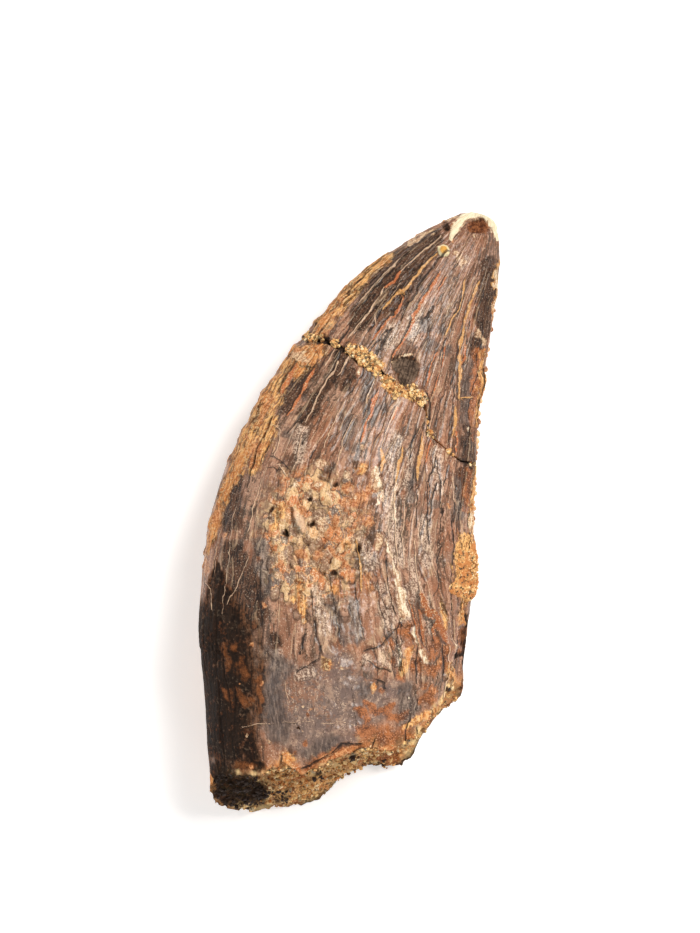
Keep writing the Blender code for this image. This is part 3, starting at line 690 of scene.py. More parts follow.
# %% [markdown]
# Millions of places need their relief worked out, and asking for one value at a time is slow. So the
# same kind of noise is also written for whole arrays: each cell of a grid gets a random slope, and a
# place blends the slopes of its eight corners.

# %% Noise for whole arrays
HASHES = np.random.default_rng(5).permutation(256)
SLOPES = np.random.default_rng(6).normal(size=(256, 3))


def grain(points, size, seed):
    """Smooth noise at each point, like rough but many times quicker, for the fine relief."""
    places = points / np.array(size) + np.array((seed, 2.3 * seed, 0.7 * seed))
    cells = np.floor(places).astype(int)
    within = places - cells
    fade = within ** 3 * (within * (within * 6 - 15) + 10)
    total = 0
    for corner in np.ndindex(2, 2, 2):
        x, y, z = np.moveaxis(cells + corner, -1, 0)
        slopes = SLOPES[HASHES[(HASHES[(HASHES[x & 255] + y) & 255] + z) & 255]]
        weight = np.prod(np.where(corner, fade, 1 - fade), axis=-1)
        total = total + weight * ((within - corner) * slopes).sum(axis=-1)
    return total * 0.9


print("grain at the origin:", round(float(grain(np.zeros(3), 1.0, 0.5)), 3))

# %% [markdown]
# Fibres run along the tooth, and the relief and the streaks of colour follow them. So each place also
# has a lie: where it would be if the tooth were straightened into a round rod. A pattern drawn out
# along the rod then runs along the tooth. Low on the rear half the fibres lean, as they do on the
# real one.

# %% The lie of the fibres
LIE_RADIUS = 8.8
FINE_TURNS = np.linspace(0, 2 * np.pi, 2001)
GIRTH_SHARES = girth_shares(FINE_TURNS)
FIBRE_LEAN = 0.34
LEAN_BELOW = -7.4
LEAN_ACROSS = (-4.0, 6.5)
LEAN_DEEPEST = 8.0


def lie_of(runs, turns):
    """A place on the unrolled tooth, as a point of a cylinder whose fibres run along its z. Low on
    the rear half they lean back, towards the broken corner."""
    angle = 2 * np.pi * np.interp(turns % (2 * np.pi), FINE_TURNS, GIRTH_SHARES)
    x, y, _ = np.moveaxis(on_body(runs, turns), -1, 0)
    lean = FIBRE_LEAN * np.clip(LEAN_BELOW - y, 0, LEAN_DEEPEST) * smoothstep(*LEAN_ACROSS, x)
    angle = angle + lean * smoothstep(-0.1, 0.4, np.sin(turns)) / LIE_RADIUS
    return np.stack([LIE_RADIUS * np.cos(angle), LIE_RADIUS * np.sin(angle), runs], -1)


print("a place half way along lies at", np.round(lie_of(np.array([26.0]), np.array([1.5]))[0], 1))

# %% [markdown]
# The hidden side gets marks too, because a find is looked at from all sides. Its veins run along the
# tooth as the real ones do, with a little wander, and their places come from a seeded dice roll, so
# that every run of the script makes the same tooth. The upper side gets some thin dark ones as well.

# %% Veins by chance
CHANCE_VEIN_COUNT = 190
CHANCE_STARTS = (3, 48)
HIDDEN_TONES = (DARK_TONE, DARK_TONE, CREAM_TONE, GOLD_TONE, ORANGE_TONE, RUST_TONE)
HIDDEN_LENGTHS, SEEN_LENGTHS = (2.5, 12), (2, 7)
HIDDEN_HALF_WIDTHS, SEEN_HALF_WIDTHS = (0.04, 0.10), (0.03, 0.06)
dice = np.random.default_rng(11)
CHANCE_VEINS = []
for n in range(CHANCE_VEIN_COUNT):
    hidden = n % 2 == 0
    turn = dice.uniform(np.pi, 2 * np.pi) if hidden else dice.uniform(0, np.pi)
    start = dice.uniform(*CHANCE_STARTS)
    length = dice.uniform(*(HIDDEN_LENGTHS if hidden else SEEN_LENGTHS))
    tone = HIDDEN_TONES[dice.integers(len(HIDDEN_TONES))] if hidden else DARK_TONE
    half = dice.uniform(*(HIDDEN_HALF_WIDTHS if hidden else SEEN_HALF_WIDTHS))
    CHANCE_VEINS.append((turn, start, length, tone, half, n))


def read_chance_veins(runs, turns, mm_per_turn, side, tone):
    """Draws the veins by chance into side and tone, each wandering a little along its meridian."""
    for turn, start, length, colour, half, seed in CHANCE_VEINS:
        near = np.nonzero((np.abs(turns - turn) < 0.25) & (runs > start) & (runs < start + length))
        if not len(near[0]):
            continue
        fine = np.linspace(0, length, 40)
        wander = [0.5 * noise.noise((0.45 * at, seed, 3.3)) + 0.14 * noise.noise((2.2 * at, seed, 7.7))
                  for at in fine]
        at = runs[near] - start
        taper = np.sqrt(np.clip(at * (length - at), 0, 1)) + 0.15
        aside = (turns[near] - turn) * mm_per_turn[near] - np.interp(at, fine, wander)
        ratio = aside / (half * taper)
        closer = np.abs(ratio) < np.abs(side[near])
        where = tuple(index[closer] for index in near)
        side[where] = ratio[closer]
        tone[where] = colour


def chance_patches(lie, size, seed, share):
    """Patches over the hidden side: above 0 inside one. The share moves their edge."""
    stretched_lie = lie / (1, 1, 2.2)
    return 1.6 * grain(stretched_lie, size, seed) + 0.5 * grain(stretched_lie, size / 3, seed + 1) + share


print(len(CHANCE_VEINS), "veins by chance")

# %% [markdown]
# ## Relief
# On the real tooth the relief is of every size: a shallow trough down the blade, a ledge where the
# enamel ends, lumps and pits where it has rotted, plates that have flaked off, and fibres finer than
# a hair. All of these move the mesh itself, so the light shapes them from every side. A bump map is
# kept for grit that the mesh can't hold. The heights and depths below are in millimetres.

# %% Places and sizes of the relief
TROUGH_AT, TROUGH_HALF_WIDTH, TROUGH_DEPTH = 0.60, 0.17, 0.42
ENAMEL_END = np.array([(-12.0, -15.0), (-7.0, -15.5), (-2.0, -15.8), (1.0, -17.0), (4.0, -18.5),
                       (7.0, -18.0), (10.0, -15.0)])
ENAMEL_THICKNESS = 0.18
WORN_FRONT_DEPTH = 0.20
PITTED_PLACE = (-3.2, -6.0, 4.6, 6.0)
PITTED_DEPTH = 0.40
PITTED_SUNK = 0.12
CHIPS = ((0.45, 4.4, 8.2, 1.1, 1.3), (0.60, 9.6, -17.6, 1.2, 2.4), (0.35, 11.2, 20.2, 1.1, 0.8))
NODULE_HEIGHT = 0.24
LUMP_HEIGHT, PIT_DEPTH = 0.34, 0.34
PLATE_HEIGHT = 0.11
STEP_HEIGHTS = (0.045, 0.022)
CRACK_DEPTHS = (0.08, 0.03)
OPEN_VEIN_DEPTH, FILLED_VEIN_HEIGHT = 0.08, 0.02
ARCH_HEIGHT, WINDOW_DEPTH = 0.14, 0.34
SPOT_HEIGHT, FACET_DEPTH = 0.16, 0.14
PLATE_SIZE = (0.95, 0.95, 11.0)
FLAKE_SIZE = (0.42, 0.42, 3.4)
SPOT_ASTRAY = 3.4
VEIN_ASTRAY = 1.2
print("the deepest chip is", max(depth for depth, *_ in CHIPS), "mm deep")

# %% [markdown]
# Rotten enamel swells into rounded lumps, some cream, some orange and some slate. They are scattered
# by a seeded dice roll round the middle of the rotten zone. Each is part of a ball, drawn out a
# little along the tooth, and its outline is bent by noise, because no two real ones are round.

# %% Rounded lumps of the rotten zone
NODULE_COUNT = 190
NODULE_RADII = (0.16, 0.60)
NODULE_SPREAD = (0.60 * PITTED_PLACE[2], 0.66 * PITTED_PLACE[3])
NODULE_LOWER = 0.6
NODULE_LENGTHENED = 0.66
dice = np.random.default_rng(21)
NODULES = np.stack([dice.normal(PITTED_PLACE[0], NODULE_SPREAD[0], NODULE_COUNT),
                    dice.normal(PITTED_PLACE[1] - NODULE_LOWER, NODULE_SPREAD[1], NODULE_COUNT),
                    dice.uniform(*NODULE_RADII, NODULE_COUNT), dice.uniform(0, 1, NODULE_COUNT)], -1)


def hill(points, x, y, half_width, half_length):
    """A soft round hill, 1 at its centre."""
    dx, dy = (points[..., 0] - x) / half_width, (points[..., 1] - y) / half_length
    return np.exp(-dx * dx - dy * dy)


def read_nodules(points):
    """The rounded lumps: 1 on a lump's top and 0 off it, and the lump's own tone from 0 to 1."""
    x, y = (points[..., i] + 0.20 * grain(points, 0.7, 85.0 + i) + 0.08 * grain(points, 0.3, 87.0 + i)
            for i in (0, 1))
    height, tone = np.zeros(x.shape), np.zeros(x.shape)
    for middle_x, middle_y, radius, own in NODULES:
        off = ((x - middle_x) ** 2 + (NODULE_LENGTHENED * (y - middle_y)) ** 2) / radius ** 2
        rise = np.sqrt(np.clip(1 - off, 0, 1))
        tone = np.where(rise > height, own, tone)
        height = np.maximum(height, rise)
    return height, tone


print(len(NODULES), "rounded lumps")

# %% [markdown]
# Now all the marks of a place can be read together. A drawn edge is too smooth for a stain, so the
# plan is first bent by noise, strongly for the stains and less for the veins and the tip. On the
# hidden side chance patches stand in for the drawn ones, and the plan's marks fade out there.

# %% Reading every mark of a place
def above_enamel_end(points):
    """How far each place is above the line where the enamel ends, in millimetres."""
    return points[..., 1] - np.interp(points[..., 0], ENAMEL_END[:, 0], ENAMEL_END[:, 1])


def colour_marks(points, lie, facing_up, front, root):
    """The marks that have no direction, at any places: how far inside each kind a place is."""
    plan = plan_of(points)
    astray = np.stack([SPOT_ASTRAY * grain(points, 0.9, seed) + 0.6 * SPOT_ASTRAY * grain(points, 0.35, seed)
                       for seed in (26.0, 27.0)], -1)
    spotted, veined = plan + astray, plan + (VEIN_ASTRAY / SPOT_ASTRAY) * astray
    over = 2 * (facing_up - 1)
    marks = {}
    for name, strokes, size, seed, share in (
            ("ochre", OCHRE, 4.0, 31.0, 1.1 * front - 0.55), ("orange", ORANGE, 2.4, 33.0, -0.75),
            ("cream", CREAM, 1.6, 35.0, -0.95), ("rust", RUST, 3.6, 37.0, 0.7 * root - 0.75),
            ("dark", DARK_STAIN_AND_SHADE, 4.6, 39.0, 0.5 * root - 0.55), ("peat", PEAT, 3.8, 45.0, -0.25),
            ("grey", GREY_AND_SHEEN, 3.4, 41.0, -0.35), ("sand", SAND, 4.2, 43.0, 0.4 * root - 0.85)):
        by_chance = chance_patches(lie, size, seed, share) - 2 * facing_up
        marks[name] = np.maximum(inside(spotted, strokes) + over, by_chance)
    for name, strokes in (("slate", SLATE), ("bright", BRIGHT_AND_HIGHLIGHTS), ("lump", LUMPS), ("pit", PITS),
                          ("plate", PLATES), ("bare", BARE_ROOT)):
        marks[name] = inside(spotted, strokes) + over
    for name, strokes in (("window", WINDOW), ("arch", ARCH), ("facet", FACET), ("spot", ROUND_SPOT),
                          ("heap", HEAPS)):
        marks[name] = inside(veined, strokes) + over
    return marks, veined


def vein_marks(runs, turns, veined, facing_up, plain):
    """The nearest vein of each place: drawn ones above, and ones by chance elsewhere, except where
    the surface is plain."""
    side, tone = np.full(runs.shape, FAR_ASIDE), np.zeros(runs.shape)
    step = on_body(runs, turns + 0.02) - on_body(runs, turns - 0.02)
    read_chance_veins(runs, turns, np.linalg.norm(step, axis=-1) / 0.04, side, tone)
    drawn_side, drawn_tone = np.full(runs.shape, FAR_ASIDE), np.zeros(runs.shape)
    read_veins(veined, drawn_side, drawn_tone)
    drawn = (facing_up > 0.5) & (np.abs(drawn_side) < np.maximum(np.abs(side), 3))
    side = np.where(drawn, drawn_side, np.where(plain, FAR_ASIDE, side))
    side = np.clip(side, -FAR_ASIDE, FAR_ASIDE)
    return {"vein_side": side, "vein_tone": np.where(drawn, drawn_tone, tone),
            "vein_near": smoothstep(4.5, 2.5, np.abs(side))}


def read_marks(runs, turns):
    """Every mark at each place of the tooth, by name."""
    points, lie = on_body(runs, turns), lie_of(runs, turns)
    facing_up = smoothstep(-0.30, -0.05, np.sin(turns))
    front = smoothstep(-0.60, -0.95, np.cos(turns))
    marks, veined = colour_marks(points, lie, facing_up, front, smoothstep(17, 9, runs))
    marks["lie"] = lie
    bent = lie + 0.15 * np.stack([grain(points, 2.2, seed) for seed in (28.0, 29.0, 30.0)], -1)
    marks["split"] = grain(bent, PLATE_SIZE, 16.0) + 0.15 * grain(lie, (0.5, 0.5, 1.5), 16.5)
    marks["split_fine"] = grain(bent, FLAKE_SIZE, 17.0)
    marks["open"] = smoothstep(-0.25, 0.25, grain(bent, (2.4, 2.4, 7.0), 18.0) + 0.25)
    marks["clod"] = grain(points, (0.8, 1.0, 0.8), 19.0) + 0.35 * grain(points, 0.36, 19.5)
    marks["crown"] = smoothstep(-1.2, 0.8, above_enamel_end(points) + 0.8 * grain(points, 1.4, 20.5))
    marks["rotten"] = hill(points, *PITTED_PLACE) * smoothstep(-0.1, 0.3, np.sin(turns))
    height, marks["nodule_tone"] = read_nodules(points)
    marks["nodule"] = height * smoothstep(0.25, 0.65, marks["rotten"] + 0.3 * grain(points, 1.2, 89.0))
    plain = (marks["bare"] > -0.2) | (marks["rotten"] > 0.3)
    marks.update(vein_marks(runs, turns, veined, facing_up, plain))
    return points, marks


print("a place on the rotten middle:", sorted(read_marks(np.array([28.0]), np.array([1.6]))[1]))

# %% [markdown]
# The relief is a sum of four kinds: the broad forms, the lumps and pits, the plates and cracks along
# the fibres, and the crusts. Keeping them apart makes it easy to leave one out and see what it does.
# Towards the very tip they fade, except for the worn window, so that the point stays closed.

# %% The finished surface
def broad_relief(points, turns, stations, upper):
    """What shows from a step away: trough, end of the enamel, worn front, hollow middle and chips."""
    trough = np.exp(-((np.cos(turns) - TROUGH_AT) / TROUGH_HALF_WIDTH) ** 2)
    out = -TROUGH_DEPTH * trough * smoothstep(2, 5, stations) * smoothstep(13, 10, stations)
    ragged = 0.5 * grain(points, 0.9, 12.0) + 0.3 * grain(points, 0.35, 13.0)
    out += ENAMEL_THICKNESS * smoothstep(-0.10, 0.10, above_enamel_end(points) + ragged) * upper
    worn_front = smoothstep(-0.70, -0.88, np.cos(turns) + 0.10 * ragged) * smoothstep(4, 6, stations)
    out -= WORN_FRONT_DEPTH * worn_front * upper
    out += hill(points, *PITTED_PLACE) * upper * (PITTED_DEPTH * rough(points, 1.7, 3.0) - PITTED_SUNK)
    for depth, *place in CHIPS:
        out -= depth * hill(points, *place) * upper
    return out + 0.22 * rough(points, 6.0, 1.0) + 0.10 * rough(points, 2.2, 2.0)


def lumps_and_pits(points, marks, pitted):
    """Rounded lumps, clods and pits of the rotten enamel, and the steps round its plates."""
    out = NODULE_HEIGHT * marks["nodule"]
    clods = 0.28 * smoothstep(0.0, 0.25, np.abs(marks["clod"])) - 0.16
    out += pitted * (clods + 0.26 * grain(points, 0.5, 14.0) + 0.12 * grain(points, 0.24, 15.0))
    out += LUMP_HEIGHT * np.sqrt(np.clip(marks["lump"], 0, 1))
    out -= PIT_DEPTH * smoothstep(-0.1, 0.7, marks["pit"])
    return out + PLATE_HEIGHT * smoothstep(-0.06, 0.12, marks["plate"] + 0.12 * grain(points, 0.4, 25.0))


def fibre_relief(points, marks, upper, pitted):
    """Plates, cracks and threads along the fibres, and the thin layers of the bare root."""
    bare = smoothstep(-0.2, 0.3, marks["bare"]) * upper
    crown = (0.25 + 0.75 * marks["crown"]) * (1 - 0.85 * bare) * (1 - 0.8 * pitted)
    crown = crown * (1 - smoothstep(-0.1, 0.1, marks["facet"])) * (1 - smoothstep(-0.2, 0.2, marks["arch"]))
    split, fine = marks["split"], marks["split_fine"]
    steps = STEP_HEIGHTS[0] * smoothstep(-0.05, 0.05, split) + STEP_HEIGHTS[1] * smoothstep(-0.06, 0.06, fine)
    cracks = (CRACK_DEPTHS[0] * marks["open"] * (1 - smoothstep(0.01, 0.07, np.abs(split)))
              + CRACK_DEPTHS[1] * (1 - smoothstep(0.02, 0.10, np.abs(fine))))
    layers = smoothstep(-0.03, 0.03, grain(points, (2.4, 1.7, 2.4), 26.0) + 0.16 * grain(points, 0.4, 27.0))
    hide = 0.07 * layers + 0.10 * grain(points, 1.3, 28.0) + 0.05 * grain(points, 0.45, 29.0)
    return crown * (steps - cracks) + 0.020 * grain(marks["lie"], (0.28, 0.28, 1.2), 17.5) + bare * hide


def crust_relief(points, marks):
    """Crusts, sand, veins and grit, which stand on the enamel or are let into it."""
    crust = smoothstep(-0.1, 0.2, marks["ochre"] + 0.6 * grain(points, 0.5, 20.0))
    out = crust * (0.06 + 0.06 * grain(points, 0.35, 21.0) + 0.20 * grain(points, 1.3, 24.0))
    grit = smoothstep(-0.1, 0.3, marks["sand"] + 0.5 * grain(points, 0.5, 22.0))
    out += grit * (0.05 + 0.09 * grain(points, 0.26, 23.0))
    veins = 1 - smoothstep(0.3, 1.8, np.abs(marks["vein_side"]))
    out += veins * np.where(marks["vein_tone"] < -0.5, -OPEN_VEIN_DEPTH, FILLED_VEIN_HEIGHT)
    out += SPOT_HEIGHT * smoothstep(0.0, 0.35, marks["spot"])
    return out - FACET_DEPTH * smoothstep(-0.02, 0.2, marks["facet"]) + 0.022 * grain(points, 0.22, 24.0)


def relief(points, runs, turns, marks):
    """How far the finished surface stands out from the plain body."""
    stations = station_of(runs)
    upper = smoothstep(-0.1, 0.3, np.sin(turns))
    pitted = hill(points, *PITTED_PLACE) * upper
    out = (broad_relief(points, turns, stations, upper) + lumps_and_pits(points, marks, pitted)
           + fibre_relief(points, marks, upper, pitted) + crust_relief(points, marks))
    worn_tip = (ARCH_HEIGHT * smoothstep(0.0, 0.6, marks["arch"])
                - WINDOW_DEPTH * smoothstep(-0.1, 0.5, marks["window"]))
    return out * smoothstep(TIP, TIP - 2.5, stations) + worn_tip


def finished_surface(runs, turns):
    """Points on the finished surface, with their outward directions and marks."""
    points, marks = read_marks(runs, turns)
    normals = surface_normals(runs, turns)
    return points + normals * relief(points, runs, turns, marks)[..., None], normals, marks


print("the rotten middle lies at", np.round(finished_surface(np.array([28.0]), np.array([1.6]))[0], 2))

# %% [markdown]
# ## Two fragments
# The crown broke through long ago, and the break healed with sandstone. So the tooth is two closed
# pieces, each a ball whose rings are laid along the tooth: one pole is the tip or the middle of the
# broken root, and the other is hidden in the break. A ball closes itself at both ends, which loose
# rings bridged one by one would not.

# %% The width of the break
# The plan's x along the seam, and how far each lip stands back from it, in millimetres.
LIP_SETBACK = np.array([
    (300, 0.20), (318, 0.26), (332, 0.20), (345, 0.22), (356, 0.50), (370, 0.56), (381, 0.26), (392, 0.34),
    (404, 0.30), (416, 0.36), (424, 0.26), (430, 0.14), (438, 0.09), (452, 0.08), (466, 0.12), (480, 0.10),
])
HIDDEN_SETBACK = 0.24


def lip_setback(turns, seam_runs, seed):
    """How far the lip of a fragment stands back from the seam at each turn."""
    points = on_body(seam_runs, turns)
    seen = np.interp(plan_of(points)[:, 0], LIP_SETBACK[:, 0], LIP_SETBACK[:, 1])
    share = smoothstep(-0.1, 0.1, np.sin(turns))
    ragged = 0.30 * grain(points, 1.1, seed) + 0.20 * grain(points, 0.4, seed + 1)
    setback = share * seen + (1 - share) * HIDDEN_SETBACK
    return np.maximum(setback * (1 + ragged), 0.08)


print("a lip stands back", LIP_SETBACK[:, 1].min(), "to", LIP_SETBACK[:, 1].max(), "mm in view")


# %% Laying rings on a ball
ATTRIBUTES = ("ochre", "orange", "cream", "rust", "dark", "peat", "grey", "slate", "bright", "sand",
              "plate", "window", "arch", "facet", "spot", "crown", "bare", "split", "split_fine",
              "open", "clod", "rotten", "nodule", "nodule_tone", "vein_side", "vein_tone",
              "vein_near", "end_grain")


def add_piece(name, mesh, finish, replaced=()):
    """Puts a finished mesh into the scene as a piece of the tooth."""
    mesh.shade_smooth()
    mesh.materials.append(finish)
    piece = bpy.data.objects.new(name, mesh)
    bpy.context.scene.collection.objects.link(piece)
    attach(piece, "root")
    if replaced:
        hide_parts(*replaced)
    print(name, len(mesh.polygons), "faces")


def boxed(points):
    """Frame points pressed into the packed solids' box. At its floor this makes the worn flat that
    the tooth rests on, and elsewhere it trims the highest ridges by up to 0.2 mm."""
    return np.clip(points, CAD_LOW, CAD_HIGH)


def laid(name, bm, place):
    """A mesh whose vertices are all moved at once. The function place gives their drawing points,
    and the numbers to keep for each of them. Vertices that meet, as where a grid is rolled up,
    become one."""
    mesh = bpy.data.meshes.new(name)
    bm.to_mesh(mesh)
    bm.free()
    before = np.empty(len(mesh.vertices) * 3, np.float32)
    mesh.vertices.foreach_get("co", before)
    points, kept = place(before.reshape(-1, 3).astype(float))
    mesh.vertices.foreach_set("co", boxed(in_frame(points)).astype(np.float32).ravel())
    for key, values in kept.items():
        kind, field = ("FLOAT_VECTOR", "vector") if values.ndim == 2 else ("FLOAT", "value")
        layer = mesh.attributes.new(key, kind, "POINT")
        layer.data.foreach_set(field, values.astype(np.float32).ravel())
    bm = bmesh.new()
    bm.from_mesh(mesh)
    bmesh.ops.remove_doubles(bm, verts=bm.verts, dist=1e-7)
    if bm.calc_volume(signed=True) < 0:
        bmesh.ops.reverse_faces(bm, faces=bm.faces)
    bm.to_mesh(mesh)
    bm.free()
    return mesh


def ball_piece(name, rows, marks, finish):
    """A grid rolled up and drawn together at both ends, with one ring of vertices on each row."""
    rings, columns = rows.shape[:2]

    def place(grid):
        row = np.round((grid[:, 1] + 1) / 2 * (rings - 1)).astype(int)
        column = np.round((grid[:, 0] + 1) / 2 * columns).astype(int) % columns
        return rows[row, column], {key: marks[key][row, column] for key in (*ATTRIBUTES, "lie")}

    bm = bmesh.new()
    bmesh.ops.create_grid(bm, x_segments=columns, y_segments=rings - 1, size=1)
    add_piece(name, laid(name, bm, place), finish, ["tooth"])


def shoulder(ring, normals, middle, depths, shares):
    """Rings that turn in over a lip, down its wall and across to the middle of the hidden end."""
    down = [ring - normals * depth for depth in depths]
    return [*down, *(middle + (down[-1] - middle) * share for share in shares)]


def stretched(marks, before, after):
    """Marks with their first and last rows repeated for rings added before and after them."""
    return {key: np.concatenate([values[:1]] * before + [values] + [values[-1:]] * after)
            for key, values in marks.items()}


print(len(ATTRIBUTES), "marks are kept on each vertex")

# %% [markdown]
# ## Materials
# Node materials are easier to read as sums than as a web of boxes. The class Wire below stands for
# one socket of a node, and adding or multiplying wires adds the Math nodes. Board holds a material's
# nodes, and its method add makes any other node.

# %% Colours as a shader takes them
def tint(red, green, blue):
    """A colour as a screen gives it, from 0 to 255, as the linear values that a shader takes."""
    return (*(c / 12.92 if c <= 0.04045 else ((c + 0.055) / 1.055) ** 2.4
              for c in (red / 255, green / 255, blue / 255)), 1)


print("the middle grey of a screen is", round(tint(128, 128, 128)[0], 3), "to a shader")


# %% Wires
class Wire:
    """One socket's output. Arithmetic on it adds Math nodes."""

    def __init__(self, board, socket):
        self.board, self.socket = board, socket

    def math(self, operation, *values):
        return self.board.add("ShaderNodeMath", {"operation": operation}, dict(enumerate(values)))

    def __add__(self, other):
        return self.math("ADD", self, other)

    def __sub__(self, other):
        return self.math("SUBTRACT", self, other)

    def __rsub__(self, other):
        return self.math("SUBTRACT", other, self)

    def __mul__(self, other):
        return self.math("MULTIPLY", self, other)

    def __neg__(self):
        return self.math("MULTIPLY", self, -1.0)

    __radd__, __rmul__ = __add__, __mul__

    def size(self):
        return self.math("ABSOLUTE", self)

    def most(self, other):
        return self.math("MAXIMUM", self, other)

    def blend(self, other, share=0.5):
        """This pattern with a share of another in it."""
        return self * (1 - share) + other * share

    def flat(self):
        """A colour wire's first channel."""
        return self.board.add("ShaderNodeSeparateColor", {}, {0: self})

    def scaled(self, *factors):
        """A vector wire with its x, y and z multiplied."""
        return self.board.add("ShaderNodeVectorMath", {"operation": "MULTIPLY"}, {0: self, 1: factors})

    def rise(self, low, high):
        """0 below low, 1 above high, and smooth between."""
        return self.board.add("ShaderNodeMapRange", {"interpolation_type": "SMOOTHSTEP"},
                              {0: self, 1: low, 2: high})


print("a wire can be added, multiplied and made", [name for name in vars(Wire) if name[0] != "_"])


# %% Boards
class Board:
    """The nodes of one material."""

    def __init__(self, name):
        self.material = bpy.data.materials.new(name)
        self.material.use_nodes = True
        self.tree = self.material.node_tree
        self.shader = self.tree.nodes["Principled BSDF"]

    def add(self, kind, settings, sockets, out=0):
        node = self.tree.nodes.new(kind)
        for key, value in settings.items():
            setattr(node, key, value)
        self.plug(node, sockets)
        return Wire(self, node.outputs[out])

    def plug(self, node, sockets):
        for key, value in sockets.items():
            if isinstance(value, Wire):
                self.tree.links.new(value.socket, node.inputs[key])
            else:
                node.inputs[key].default_value = value

    def place(self):
        """Object coordinates in millimetres."""
        return self.add("ShaderNodeTexCoord", {}, {}, out="Object").scaled(1000, 1000, 1000)

    def attribute(self, name, out="Fac"):
        return self.add("ShaderNodeAttribute", {"attribute_name": name}, {}, out=out)

    def noise(self, vector, scale, detail=2.0, rough_share=0.5):
        """Noise from about 0.2 to 0.8, with so many lumps to the millimetre."""
        return self.add("ShaderNodeTexNoise", {},
                        {"Vector": vector, "Scale": scale, "Detail": detail, "Roughness": rough_share})

    def cells(self, vector, scale):
        """Random cells, so many to the millimetre, each with its own number from 0 to 1."""
        return self.add("ShaderNodeTexVoronoi", {}, {"Vector": vector, "Scale": scale}, out="Color").flat()

    def mix(self, share, first, second):
        return self.add("ShaderNodeMix", {"data_type": "RGBA"}, {0: share, 6: first, 7: second}, out=2)

    def two_tone(self, share, first, second):
        """One colour where the share is 0 and another where it is 1, as a screen gives them."""
        return self.mix(share, tint(*first), tint(*second))

    def flecked(self, colour, *flecks):
        """A colour with others laid over it in turn, each with its own share."""
        for share, fleck in flecks:
            colour = self.mix(share, colour, fleck if isinstance(fleck, Wire) else tint(*fleck))
        return colour

    def finish(self, colour, roughness, height, bump_distance, bump_strength=1.0):
        bump = self.add("ShaderNodeBump", {}, {"Strength": bump_strength, "Distance": bump_distance,
                                               "Height": height})
        self.plug(self.shader, {"Base Color": colour, "Roughness": roughness, "Normal": bump})
        return self.material


print("a board can", [name for name in vars(Board) if name[0] != "_"])

# %% [markdown]
# ## The finish of the enamel
# Real stains all follow the same fibres, cracks and pores. So the material makes a few patterns once,
# and each coat of colour takes its edges and flecks from them: broad zones and red zones, clumps,
# lumps, specks and grit, and streaks, threads and flakes that are drawn out along the fibres.

# %% Patterns that the coats share
board = Board("cracked_enamel")
place, lie = board.place(), board.attribute("lie", out="Vector")
zones = board.noise(place, 0.24, 2)
reds = board.noise(place.scaled(1, -1, 1), 0.30, 3)
clumps = board.noise(place, 0.75, 3, 0.6)
lumps = board.noise(place, 1.1, 3, 0.6)
specks = board.noise(place, 3.8, 3, 0.65)
grit = board.noise(place, 8.0, 1, 0.6)
streaks = board.noise(lie.scaled(1, 1, 0.16), 1.7, 3, 0.6)
threads = board.noise(lie.scaled(1, 1, 0.22), 5.0, 3, 0.65)
flakes = board.cells(lie.scaled(1, 1, 0.34), 3.6)
scales = board.cells(place, 5.2)
ragged = (specks - 0.5) * 0.8 + (lumps - 0.5) * 1.0 + (threads - 0.5) * 0.9
soft = (lumps - 0.5) * 1.0 + (streaks - 0.5) * 1.0 + (threads - 0.5) * 0.5
split, fine, end = (board.attribute(name) for name in ("split", "split_fine", "end_grain"))
print(len(board.tree.nodes), "nodes for the shared patterns")

# %% [markdown]
# Sound enamel is brown with iron, deeper and paler in streaks along the fibres, and covered in fine
# specks where its surface has flaked. The broken end has no enamel. It is sandy and crumbly.

# %% Sound enamel and the broken end
brown = board.two_tone(zones.rise(0.38, 0.62), (156, 110, 84), (148, 112, 90))
brown = board.flecked(brown, (reds.rise(0.46, 0.62) * 0.8, (158, 102, 70)))
deep = board.two_tone(zones.rise(0.38, 0.62), (98, 66, 47), (90, 70, 55))
body = threads * 0.40 + streaks * 0.25 + flakes * 0.20 + split.rise(-0.3, 0.3) * 0.15
pale = threads * 0.45 + scales * 0.25 + fine.rise(-0.2, 0.4) * 0.30
colour = board.flecked(
    board.mix(body.rise(0.34, 0.52), deep, brown),
    (pale.rise(0.50, 0.66) * 0.5, (208, 160, 130)),
    (grit.blend(threads).rise(0.58, 0.68) * 0.55, (228, 194, 160)),
    (grit.blend(specks, 0.4).rise(0.45, 0.36) * 0.45, (62, 43, 32)))
crumb = board.flecked(
    board.two_tone(clumps.blend(specks, 0.2).rise(0.40, 0.52), (188, 124, 78), (255, 216, 154)),
    (reds.rise(0.48, 0.58) * 0.7, (190, 106, 56)),
    (specks.blend(clumps, 0.3).rise(0.41, 0.34) * 0.85, (58, 38, 25)),
    (grit.rise(0.56, 0.66) * 0.5, (255, 214, 160)))
colour = board.mix(end * 0.95, colour, crumb)
print(len(board.tree.nodes), "nodes")

# %% [markdown]
# In the rotten middle the enamel has turned into clods and rounded lumps. Each lump has one tone of
# its own, cream, orange or slate, bright flecks on its top as a painted highlight, and a ring of
# painted shade round its foot, which makes it stand clear of the rest. The hollows between the clods
# get painted shade too.

